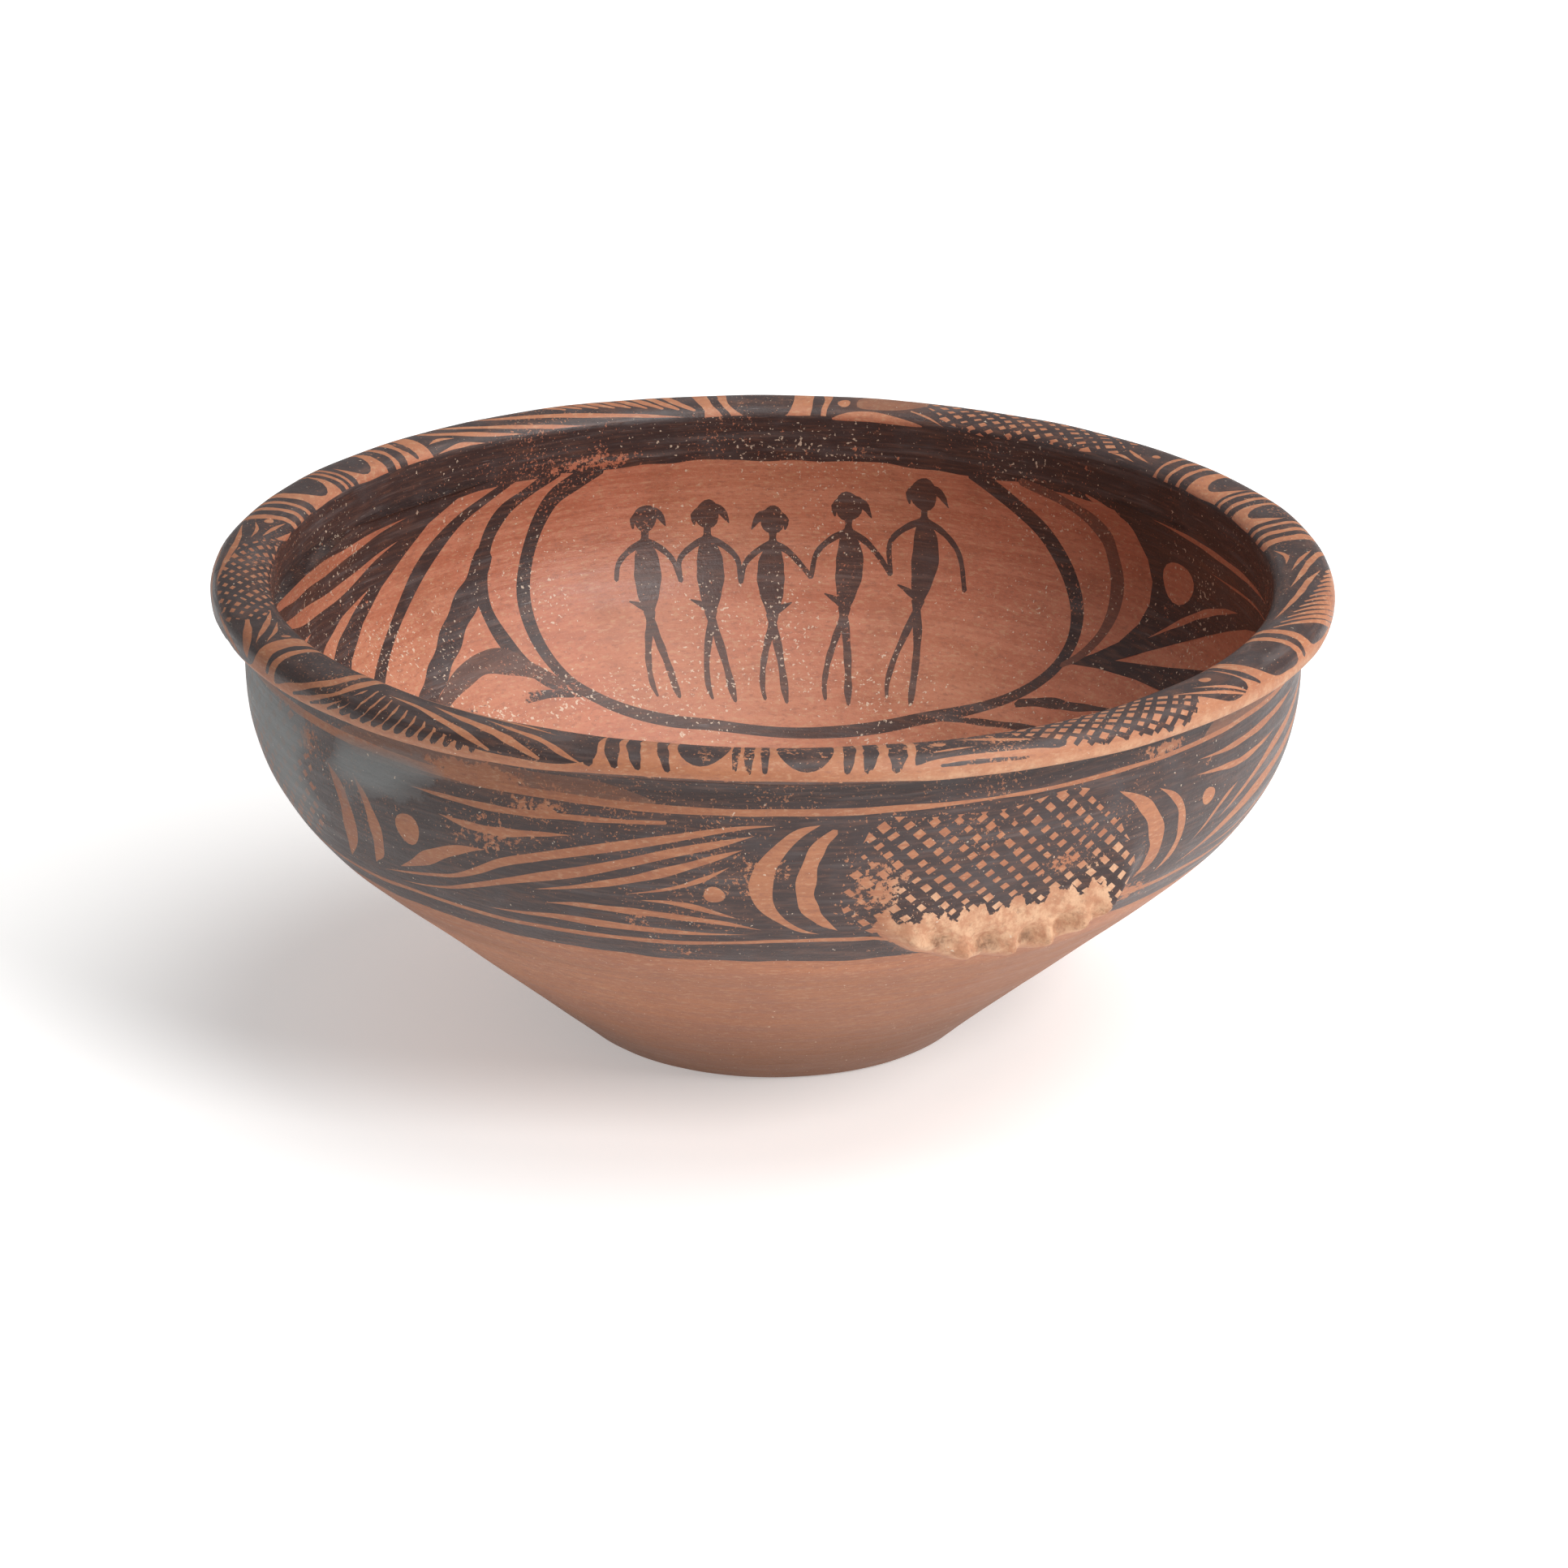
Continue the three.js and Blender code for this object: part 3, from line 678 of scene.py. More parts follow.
    paint.stroke([(311.4, 24.6, 2.2), (311.7, 14, 2.8), (311.2, 10, 2.6), (308.6, 6.6, 1.8),
                  (305, 3.4, 0.8)])
    paint.stroke([(313.6, 24.6, 1.4), (313.9, 13, 2.0), (313.2, 9.4, 2.0), (311, 6, 1.5), (308, 3.2, 0.7)])
    paint.stroke([(314.6, 10.4, 1.6), (313.2, 7, 1.6), (310.8, 3.6, 0.7)])
    # front left: a ladder under three long leaves
    for k in range(12):
        phi = 314.6 + 1.36 * k
        high = 14.4 - 0.8 * k
        fall = 1.7 - 0.17 * k
        paint.stroke([(phi, high + 1.5, 2.5), (phi + 0.35, 0.6 * high + 1.8, 2.5),
                      (phi + 0.2 - 0.4 * fall, 6, 2.4), (phi - fall, 4.1, 1.5)])
    paint.patch([(314.6, 25.4), (322, 25.6), (332, 25.4), (342.2, 25.2), (342.3, 14), (342.6, 7.6),
                 (340.5, 5.4), (334, 4.6), (328.5, 5.6), (325, 8), (321, 10.6), (317, 13.4), (314.4, 15.6)])
    leaf((316.8, 14.4, 0), (321, 13.5, 1.2), (325, 10.9, 1.6), (329, 7.9, 1.6), (331.6, 5.4, 0.8))
    leaf((322.5, 16.4, 0), (326.5, 14, 1.8), (330.6, 11.4, 2.2), (334.5, 8, 1.9), (337, 5.4, 0.8))
    leaf((329, 16.6, 0), (333, 13.4, 1.3), (336.4, 11.2, 1.5), (340, 7, 1.1), (341.6, 5.4, 0))
    leaf((318, 20.5, 0), (325, 20.4, 1.5), (332, 18.4, 1.6), (338, 14.5, 0))
    leaf((326, 23.2, 0), (333, 22, 1.5), (339, 18.6, 0))
    return paint, seam


def figure(paint, phi, feet, tall, arms, side=1, lean=0.0):
    """A dancer of a few strokes: round head with two locks of hair, slim body, crossed legs."""

    def at(across, up, width=0.0):
        """Place on the wall from shares of the figure's height, with the stroke's width there."""
        return (phi + across * tall * 0.42 + lean * up, feet + up * tall, width)

    def draw(*points, step=1.2, wobble=0.1):
        paint.stroke([at(*point) for point in points], FIGURE, step, wobble)

    head = at(0, 0.905)
    paint.dot(head[0], head[1], tall * 0.074, tall * 0.084, FIGURE)
    draw((side * 0.03, 0.95, 2.2), (side * 0.085, 0.92, 2.6), (side * 0.13, 0.85, 0.3))
    draw((-side * 0.04, 0.94, 1.8), (-side * 0.08, 0.9, 2.0), (-side * 0.076, 0.85, 0.6))
    draw((0, 0.85, 2.2), (0, 0.76, 2.1))
    draw((0, 0.79, 2.2), (0, 0.74, 5.0), (0.01 * side, 0.66, 7.6), (0.012 * side, 0.57, 8.4),
         (0.005 * side, 0.48, 6.8), (0, 0.41, 4.2), (0, 0.36, 1.8), step=1.3, wobble=0.03)
    for hand_phi, hand_z, way in arms:
        paint.stroke([at(0, 0.77, 2.2), at(way * 0.08, 0.735, 1.9), at(way * 0.175, 0.655, 1.6),
                      (hand_phi, hand_z, 1.5)], FIGURE, 1.3, 0.06)
    draw((-side * 0.02, 0.41, 2.0), (-side * 0.07, 0.435, 1.7), (-side * 0.125, 0.455, 0.4))
    draw((0.015, 0.4, 2.8), (-0.03, 0.27, 2.8), (-0.075, 0.13, 2.5), (-0.1, 0.04, 2.6), (-0.115, 0.0, 1.5),
         step=1.6)
    draw((-0.015, 0.4, 2.6), (0.035, 0.27, 2.4), (0.075, 0.14, 2.1), (0.075, 0.05, 1.8), (0.06, 0.015, 1.2),
         step=1.6)


def inner_painting():
    """The inside: a row of dancers in a round-ended frame, between dark fields with bare leaves."""
    paint = Painting(section.inside)
    seam = 90 + COLUMN_SHIFT
    half_turn = seam + 180
    paint.ring(seam, [(0, 115.6)], [(0, 8.0)], DARK, wobble=0.35)
    for turn in (0, 180):

        def stroke(*points, tone=DARK, turn=turn):
            paint.stroke(moved(points, turn), tone)

        # dark fields at both sides of the panel
        paint.sharp(moved([(seam, 60), (seam, 114), (100, 114), (110, 114), (120, 114), (136, 113.8),
                           (134, 110.4), (131, 106), (128.6, 100), (127.4, 94), (127.2, 88), (128, 82),
                           (130, 76), (133, 71.5), (136.6, 67.6), (131, 68.8), (124, 69.8), (116, 70.6),
                           (104, 68)], turn))
        paint.sharp(moved([(half_turn, 114), (half_turn, 60), (262, 62), (256, 66), (250, 72.6),
                           (245, 79.4), (240, 86.2), (235, 93), (230, 99.6), (226, 106), (221.4, 110.8),
                           (216, 114), (240, 114)], turn))
        # frame of the panel
        stroke((201.5, 112.6, 5.0), (204.6, 109, 5.0), (207.6, 105, 4.6), (209.4, 99.5, 4.2),
               (210.8, 93.5, 4.0), (212, 87.5, 4.2), (213.2, 80, 4.8), (213.6, 72, 5.0), (213, 64.5, 5.0),
               (211.2, 58.6, 4.6), (207.6, 54, 4.2), (203, 50.4, 4.0), (198, 48, 3.8), (190, 46.1, 3.6),
               (180, 44.4, 3.8), (171, 44.5, 4.0), (165, 45.6, 4.0), (160, 47.2, 4.0), (155, 49.5, 4.0),
               (150, 52.0, 4.0), (146, 54.4, 4.0), (142.4, 57.4, 4.3), (139.4, 61.5, 4.6),
               (137.6, 66.6, 4.6), (137.2, 73, 4.4), (138, 79, 4.4), (140, 86, 4.4), (142.6, 93, 4.4),
               (145.4, 99, 4.4), (149, 104.5, 4.6), (152.4, 109.2, 5.0), (155, 112.8, 5.4))
        # arcs beside the frame
        stroke((207, 113, 3.4), (211, 108.2, 3.4), (214.6, 103.4, 4.0), (216.6, 98, 4.6), (217.9, 92, 4.8),
               (218.9, 86, 4.8), (219.2, 80, 4.8), (218.7, 73, 5.0), (217.4, 66, 5.2), (215.4, 60.8, 4.4),
               (212.6, 57.4, 3.0))
        stroke((148.5, 112.4, 2.4), (142, 109, 3.2), (138, 105.6, 4.0), (135.6, 101.6, 5.0),
               (134.5, 97, 5.2), (133.3, 91, 5.0), (132.8, 85, 4.6), (132.9, 79, 4.2), (133.8, 73.6, 3.4),
               (135.2, 69.6, 2.6), (137, 67, 1.8), tone=WASH)
        # bare crescent and leaves on the field right of the panel
        stroke((139, 113, 0.6), (135, 109.6, 2.6), (132, 105, 4.8), (130.4, 98.5, 7.0), (129.8, 92, 8.0),
               (129.8, 86, 7.4), (130.6, 79.5, 5.2), (133, 71.6, 0), tone=CLEAR)
        paint.dot(122.6 + turn, 97, 7.6, 5.7)
        stroke((108, 99.3, 0), (112, 96.6, 1.6), (117, 92, 2.2), (121, 86.6, 1.8), (125.6, 79.6, 0),
               tone=CLEAR)
        paint.sharp(moved([(98, 100.5), (101, 99.6), (105, 97), (110, 92.5), (115, 87.3), (120, 81.7),
                           (125, 76.2), (129, 71.8), (125, 73.2), (120, 75.3), (115, 78), (110, 81),
                           (104, 85.4), (99, 90.5), (96.5, 96)], turn), CLEAR)
        stroke((94, 107, 0), (102, 106.4, 0.7), (110, 105.2, 0.7), (116, 105, 0), tone=CLEAR)
        stroke((95, 112.6, 0), (103, 111.6, 1.5), (112, 111.2, 1.9), (120, 111.8, 1.4), (128, 112.4, 0),
               tone=CLEAR)
        stroke((118, 64, 0), (126, 61.4, 1.6), (131, 59.8, 3.0), (136, 58.8, 3.4), (140.4, 57, 2.6))
        stroke((126, 55, 0), (134, 53.4, 1.8), (142, 51.8, 2.2), (149, 50.8, 1.8), (154, 49.8, 1.2))
        # branch and diagonal leaves left of the panel
        stroke((217.6, 93, 5.6), (220.2, 84.6, 7.4), (223, 79.6, 7.8), (226.6, 73.8, 7.4), (231, 68.4, 6.8),
               (236, 64, 6.0), (241, 60, 4.6))
        stroke((212.4, 113.4, 1.6), (217, 108.6, 2.8), (221, 104.4, 3.6), (225, 98.4, 4.4),
               (228, 93.2, 4.4), (231, 87.6, 4.0), (235, 81.2, 3.8), (239, 75.8, 3.8), (243.4, 70.6, 3.8),
               (249, 65, 3.4))
        stroke((212.6, 58.6, 2.4), (216, 62.4, 6.0), (219.6, 65.8, 8.2), (223.4, 66.8, 7.4),
               (228, 65.2, 5.6), (233, 62.6, 4.6), (239, 59.4, 4.0), tone=0.9)
        stroke((210.6, 56, 2.0), (216, 57.4, 3.0), (221, 57.6, 2.8), (226, 58, 2.6), (232, 58.8, 0.8))
        # bare leaves on the field left of the panel
        stroke((229.6, 110, 0), (235, 108.9, 1.4), (240, 107.6, 2.8), (246, 106.9, 4.2), (252, 107, 4.9),
               (258, 107.6, 4.6), (264, 109.4, 2.6), (267.6, 111, 0), tone=CLEAR)
        stroke((231.2, 104, 0), (235, 102, 1.2), (240, 99, 2.6), (245, 97.4, 3.8), (250, 97.4, 4.4),
               (255, 98.3, 3.8), (260, 100.6, 2.2), (264, 103, 0), tone=CLEAR)
        stroke((237.4, 94, 0), (242, 90.4, 2.2), (246, 87, 3.6), (250, 83.2, 4.6), (254, 79, 4.6),
               (258, 74, 3.2), (261, 70, 0), tone=CLEAR)
        stroke((252, 92, 0), (256, 90.5, 2.0), (261, 86, 3.0), (265, 79.6, 2.4), (267, 74, 0), tone=CLEAR)
        # the dancers, hand in hand
        hands = [(154.9, 78.8), (165.0, 80.6), (175.1, 78.6), (184.1, 77.2), (191.8, 78.2), (200.2, 79.8)]
        dancers = [(160.3, 52.2, 57.0, 1.2, -1), (170.2, 50.8, 52.4, 0.6, -1), (180.0, 50.6, 47.6, 0, 1),
                   (188.4, 51.0, 49.4, -0.4, -1), (197.2, 52.6, 47.6, -1.6, -1)]
        for k, (phi, feet, tall, lean, side) in enumerate(dancers):
            low_hand, high_hand = hands[k], hands[k + 1]
            arms = [(low_hand[0] + turn, low_hand[1], -1), (high_hand[0] + turn, high_hand[1], 1)]
            figure(paint, phi + turn, feet, tall, arms, side, lean)
    return paint, seam


# The mesh


class Skin:
    """Vertices in the chart, each kept once, and triangles with their tone."""

    def __init__(self):
        self.index = {}
        self.chart = []
        self.triangles = []
        self.tones = []

    def vertex(self, phi, s):
        key = (round((phi % 360) * 1000) % 360000, round(s * 1000))
        if key not in self.index:
            self.index[key] = len(self.chart)
            self.chart.append((phi % 360, s))
        return self.index[key]

    def triangle(self, a, b, c, tone):
        """One triangle, left out where two of its corners fall together."""
        if a != b and b != c and c != a:
            self.triangles.append((a, b, c))
            self.tones.append(tone)

    def ring(self, s, columns):
        """Vertices of one level round the bowl, or the single one in its middle."""
        if columns == 1:
            key = ("middle", round(s))
            self.index[key] = len(self.chart)
            self.chart.append((0.0, s))
            return [self.index[key]]
        return [self.vertex(COLUMN_SHIFT + k * 360 / columns, s) for k in range(columns)]

    def join(self, low, high):
        """Triangles between two rings, which may have different numbers of columns."""
        i = j = 0
        n, m = len(low), len(high)
        while i < n or j < m:
            if m == 1 or (n > 1 and i < n and (j >= m or (i + 1) * m <= (j + 1) * n)):
                self.triangle(low[i % n], low[(i + 1) % n], high[j % m], CLEAR)
                i += 1
                if m == 1 and i >= n:
                    break
            else:
                self.triangle(low[i % n], high[(j + 1) % m], high[j % m], CLEAR)
                j += 1
                if n == 1 and j >= m:
                    break

    def plain(self, rings):
        """A zone without painting between (running length, columns) rings."""
        loops = [self.ring(s, columns) for s, columns in rings]
        for low, high in zip(loops, loops[1:]):
            self.join(low, high)

    def painted(self, paint, seam, low, high, spacing, fine=()):
        """One zone of the chart, divided along every painted outline."""
        left = seam * CHART_SCALE
        right = (seam + 360) * CHART_SCALE
        across = np.arange(COLUMNS) * (360 / COLUMNS) * CHART_SCALE + left
        count = max(2, round((high - low) / spacing))
        up = np.linspace(low, high, count + 1)
        border = [(x, low) for x in across] + [(right, y) for y in up[:-1]]
        border += [(x + 360 / COLUMNS * CHART_SCALE, high) for x in across[::-1]]
        border += [(left, y) for y in up[:0:-1]]
        coords = [np.array(border)]
        faces = [list(range(len(border)))]
        tones = [CLEAR]
        total = len(border)
        for outline, tone, margin in paint.outlines:
            outline = outline.copy()
            whole_turn = 360 * CHART_SCALE
            middle = outline[:, 0].mean()
            outline[:, 0] -= math.floor((middle - left) / whole_turn) * whole_turn
            outline[:, 0] = np.clip(outline[:, 0], left, right)
            outline[:, 1] = np.clip(outline[:, 1], low + margin, high - margin)
            coords.append(outline)
            faces.append(list(range(total, total + len(outline))))
            tones.append(tone)
            total += len(outline)
        fixed = np.vstack(coords)
        inner = grid(left, right, low, high, spacing)
        for box in fine:
            x0, x1, y0, y1, step = box
            inside = (inner[:, 0] > x0) & (inner[:, 0] < x1) & (inner[:, 1] > y0) & (inner[:, 1] < y1)
            inner = np.vstack([inner[~inside], grid(x0, x1, y0, y1, step)])
        inner = clear_of(inner, fixed, CLEARANCE)
        points = [Vector(p) for p in np.vstack([fixed, inner])]
        verts, _, tris, _, _, origins = delaunay_2d_cdt(points, [], faces, 0, 1e-4, True)
        places = [self.vertex(v.x / CHART_SCALE, v.y) for v in verts]
        for tri, origin in zip(tris, origins):
            tone = tones[max(origin)] if origin else CLEAR
            self.triangle(places[tri[0]], places[tri[1]], places[tri[2]], tone)


def grid(x0, x1, y0, y1, step):
    """Points of a triangular grid within a box, clear of its border."""
    rows = max(1, round((y1 - y0) / (step * 0.866)))
    out = []
    for k in range(1, rows):
        y = y0 + (y1 - y0) * k / rows
        x = np.arange(x0 + step * (0.5 + 0.5 * (k % 2)), x1 - step * 0.3, step)
        out.append(np.stack([x, np.full(len(x), y)], axis=1))
    return np.vstack(out)


def clear_of(points, fixed, distance):
    """The points that lie no nearer than distance to any fixed one."""
    taken = set()
    for dx in (-0.5, 0, 0.5):
        for dy in (-0.5, 0, 0.5):
            cells = np.floor(fixed / distance + (dx, dy)).astype(int)
            taken.update(map(tuple, cells))
    cells = np.floor(points / distance).astype(int)
    keep = np.array([tuple(c) not in taken for c in cells])
    return points[keep]


def build_bowl():
    """The whole skin, from the middle of the base over the lip to the middle of the floor."""
    skin = Skin()
    foot = section.foot
    skin.plain([(0, 1), (7, 24), (16, 60), (27, 90), (38, 120), (45, 180),
                (foot - 3.4, 360), (foot - 1.7, 360), (foot, 360)])
    cone_rings = round((BAND_LOW - foot) / 3.6)
    skin.plain([(foot + (BAND_LOW - foot) * k / cone_rings, 360) for k in range(cone_rings + 1)])
    paint, seam = outer_painting()
    fine = []
    for azimuth in LUG_AZIMUTHS:
        middle = seam + (azimuth - seam) % 360
        left = (middle - LUG_HALF_SPAN - 1) * CHART_SCALE
        right = (middle + LUG_HALF_SPAN + 1) * CHART_SCALE
        fine.append((left, right, float(section.outer(56)), float(section.outer(87)), 1.15))
    skin.painted(paint, seam, BAND_LOW, LIP_START, 2.1, fine)
    paint, seam = rim_painting()
    skin.painted(paint, seam, LIP_START, LIP_END, 1.5)
    paint, seam = inner_painting()
    skin.painted(paint, seam, LIP_END, INSIDE_LOW, 2.3)
    bottom = section.end
    span = bottom - INSIDE_LOW
    rings = [(0, 360), (0.05, 360), (0.1, 360), (0.16, 360), (0.23, 360), (0.3, 240), (0.37, 240),
             (0.44, 180), (0.52, 180), (0.6, 120), (0.7, 120), (0.8, 60), (0.9, 24), (1, 1)]
    skin.plain([(INSIDE_LOW + span * t, n) for t, n in rings])
    return skin


def worn_places(phi, s, z):
    """How worn the slip is, from 0 to 1."""
    outside = s < section.lip_edge
    inside = s > section.throat
    worn = np.full(len(phi), 0.13)
    # rubbed bare on each lug, up to a ragged line through the net
    for azimuth in LUG_AZIMUTHS:
        degrees = turned(phi, azimuth)
        ragged = 1.5 * np.sin(degrees * 1.25 + 1) + 1.1 * np.sin(degrees * 2.9)
        ragged += 0.8 * np.sin(degrees * 5.3 + 2)
        top = 79.4 + ragged + 0.3 * np.clip(degrees - 4, 0, 4)
        low = LUG_EDGE_HEIGHT + LUG_ARCH * (degrees / LUG_HALF_SPAN) ** 2 - 4.5
        bare = smoothstep(top - z, -2.2, 2.6) * smoothstep(z - low, -1.0, 1.5)
        bare *= smoothstep(degrees + 16.3, -1.5, 3.0) * smoothstep(11.0 - degrees, -1.0, 1.6)
        worn = np.where(outside, np.maximum(worn, bare), worn)
    # patches of wear on the band, along the lip's front edge and inside
    spots = [(-31, 96, 7, 6, 0.3), (-14, 98, 4, 5, 0.24), (-1, 97, 4, 8, 0.26), (10, 92, 4, 14, 0.27),
             (-33, 113.5, 9, 3, 0.5), (-14, 79, 2.5, 4, 0.3), (33, 90, 6, 6, 0.24), (46, 113, 4, 2, 0.5),
             (42, 72, 6, 5, 0.36), (-11, 68, 3, 2.5, 0.3), (-58, 104, 5, 6, 0.3), (-24, 107.5, 6, 3, 0.3),
             (146, 90, 12, 14, 0.22), (215, 70, 12, 8, 0.4)]
    worn = np.where(outside, worn + blots(phi, z, spots), worn)
    front = np.exp(-((turned(phi, 8) / 34) ** 2))
    rim_edge = smoothstep(section.rim(6.6) - s, -1.8, 1.0) * (s > section.rim(3.0)) * front
    worn = np.where(~outside & ~inside, worn + 0.1 * rim_edge + 0.14 * front, worn)
    spots = [(226, 58, 14, 4, 0.4), (212, 88, 4, 6, 0.14), (202, 114, 12, 3, 0.2), (172, 114, 14, 3, 0.14)]
    worn = np.where(inside, worn + blots(phi, z, spots), worn)
    return np.clip(worn, 0, 1)


def ash_places(phi, s, z):
    """The grey bloom left of the front and fainter ones elsewhere, with two gaps, from 0 to 1."""
    spots = [(-70, 104, 14, 9, 1.0), (-47, 105, 8, 7, 1.0), (-64, 88, 10, 12, 0.8), (-90, 94, 14, 16, 0.46),
             (-40, 110, 5, 3, 0.5), (29, 110, 8, 4, 0.3), (70, 84, 14, 14, 0.3), (150, 100, 16, 8, 0.35)]
    gaps = [(-57, 96, 2.6, 5, 1.4), (-55.5, 107, 2.2, 4, 1.4)]
    ash = blots(phi, z, spots) - blots(phi, z, gaps)
    return np.clip(np.where(s < section.lip_edge, ash, 0), 0, 1)


def thin_places(phi, s, z):
    """Where the slip was brushed on thinly and looks brown, from 0 to 1."""
    rim = (s > section.lip_edge) & (s < section.throat)
    inside = s >= section.throat
    legs = 0.35 * smoothstep(72 - z, 0, 16)
    thin = np.full(len(phi), 0.12)
    thin += np.where(rim, blots(phi, s, [(167, section.rim(16), 5.5, 6, 1.0)]), 0)
    thin += np.where(inside, blots(phi, z, [(112, 104, 12, 7, 0.7)]) + legs, 0)
    thin += np.where(~rim & ~inside, blots(phi, z, [(-32, 113, 20, 5, 0.8)]), 0)
    return np.clip(thin, 0, 1)


def mesh_of(skin):
    """The skin as a mesh with its layers of wear, dirt, painted shade and a painted highlight, true normals
    and a map for baking.
    """
    chart = np.array(skin.chart)
    phi, s = chart[:, 0], chart[:, 1]
    places = surface(phi, s) * MM
    mesh = bpy.data.meshes.new("painted_bowl")
    mesh.from_pydata(places.tolist(), [], skin.triangles)
    mesh.update()
    mesh.shade_smooth()
    z = section.at(s)[1]
    slip = mesh.attributes.new("slip", "FLOAT", "FACE")
    slip.data.foreach_set("value", np.array(skin.tones, np.float32))
    layers = {
        "worn": worn_places(phi, s, z),
        "ash": ash_places(phi, s, z),
        "thin": thin_places(phi, s, z),
        "inside": smoothstep(s, section.rim(14), section.rim(24)),
        "lip": on_lip(s) * smoothstep(section.rim(25) - s, 0, 3),
        "lug": pale_clay_and_highlight_places(phi, s, z),
        "hollow_shade": hollow_shade_places(phi, s, z),
        "chalk": chalk_places(phi, s, z),
        "soil_and_shade": soil_and_shade_places(phi, s, z),
        "left_shade": left_shade_places(phi, s),
    }
    for name, values in layers.items():
        layer = mesh.attributes.new(name, "FLOAT", "POINT")
        layer.data.foreach_set("value", values.astype(np.float32))
    across, along = 0.05, 0.15
    along_phi = surface(phi + across, s) - surface(phi - across, s)
    low, high = (np.clip(s + step, 0, section.end) for step in (-along, along))
    along_s = surface(phi, high) - surface(phi, low)
    normal = np.cross(along_phi, along_s)
    size = np.linalg.norm(normal, axis=1)
    down = np.where(s < section.foot, -1.0, 1.0)
    flat = np.stack([0 * s, 0 * s, down], axis=1)
    normal = np.where((size > 1e-7)[:, None], normal / np.maximum(size, 1e-12)[:, None], flat)
    mesh.normals_split_custom_set_from_vertices(normal.tolist())
    add_bake_map(mesh, skin, chart)
    return mesh


def pale_clay_and_highlight_places(phi, s, z):
    """The pale rubbed clay of the lugs, and a painted highlight along the lip's lower corner, from 0 to 1.
    """
    pale = np.zeros(len(phi))
    for azimuth in LUG_AZIMUTHS:
        u, _, up, _ = lug_place(phi, z, azimuth)
        ends = smoothstep(1 - np.abs(u), 0.08, 0.35)
        pale += smoothstep(up, -4.5, -0.5) * smoothstep(20 - up, 0, 9) * ends
    pale = np.where(s < section.lip_edge, pale, 0)
    # and a painted highlight: a paler strip along the lip's lower corner above the near lug
    strip = smoothstep(section.rim(6) - s, 0, 3) * smoothstep(s, section.rim(-2), section.rim(1))
    pale += 0.6 * strip * smoothstep(phi, 8, 16) * smoothstep(76 - phi, 0, 12)
    return np.clip(pale, 0, 1)


def hollow_shade_places(phi, s, z):
    """Painted shade in the fingertip hollows under the lugs, strongest in the deepest ones near the lug's
    edge, from 0 to 1.
    """
    hollow_shade = np.zeros(len(phi))
    for azimuth in LUG_AZIMUTHS:
        u, _, up, hollow = lug_place(phi, z, azimuth)
        hollow_shade += np.clip(hollow / 4.6, 0, 1) ** 3.2 * np.exp(-(((up - 0.6) / 1.7) ** 2)) * (np.abs(u) < 1)
    return np.clip(np.where(s < section.lip_edge, hollow_shade, 0), 0, 1)


def soil_and_shade_places(phi, s, z):
    """Brown dirt and painted shade in the plain clay below the band, darker towards the base, from 0 to 1.
    """
    soil_and_shade = 0.8 * smoothstep(40 - z, 0, 40) + 0.28 * smoothstep(60 - z, 0, 8)
    # painted shade on the right side of the cone, below the near lug
    soil_and_shade += 0.25 * np.exp(-((turned(phi, 45) / 26) ** 2)) * smoothstep(60 - z, 0, 8)
    return np.clip(np.where(s < section.lip_edge, soil_and_shade, 0), 0, 1)


def left_shade_places(phi, s):
    """Painted shade on the left of the band and the lip, weaker on the lip, from 0 to 1."""
    film = np.exp(-((turned(phi, -70) / 46) ** 2)) * smoothstep(s, BAND_LOW, BAND_LOW + 8)
    return film * (1 - 0.34 * on_lip(s)) * smoothstep(section.rim(27) - s, 0, 6)


def chalk_places(phi, s, z):
    """Where pale mineral specks are frequent, from 0 to 1."""
    spots = [(224, 56, 16, 7, 0.6), (214, 60, 8, 16, 0.3), (190, 115, 26, 5, 0.3), (236, 90, 14, 22, 0.25),
             (178, 60, 30, 14, 0.2), (118, 88, 8, 12, 0.15)]
    chalk = np.where(s > section.throat, 0.5 + blots(phi, z, spots), 0.16)
    return np.clip(chalk, 0, 1)


def add_bake_map(mesh, skin, chart):
    """A map for baking: the whole skin unrolled in one strip, azimuth across and running length up, from
    the base at the bottom to the floor at the top.
    """
    layer = mesh.uv_layers.new(name="OFBake")
    phi = chart[:, 0]
    s = chart[:, 1]
    corners = np.array(skin.triangles)
    across = phi[corners]
    middle = np.median(across, axis=1)[:, None]
    across = middle + turned(across, middle)
    margin = 2
    u = (across.ravel() + margin) / (360 + 2 * margin)
    v = s[corners].ravel() / section.end
    layer.data.foreach_set("uv", np.stack([u, v], axis=1).astype(np.float32).ravel())


# Materials


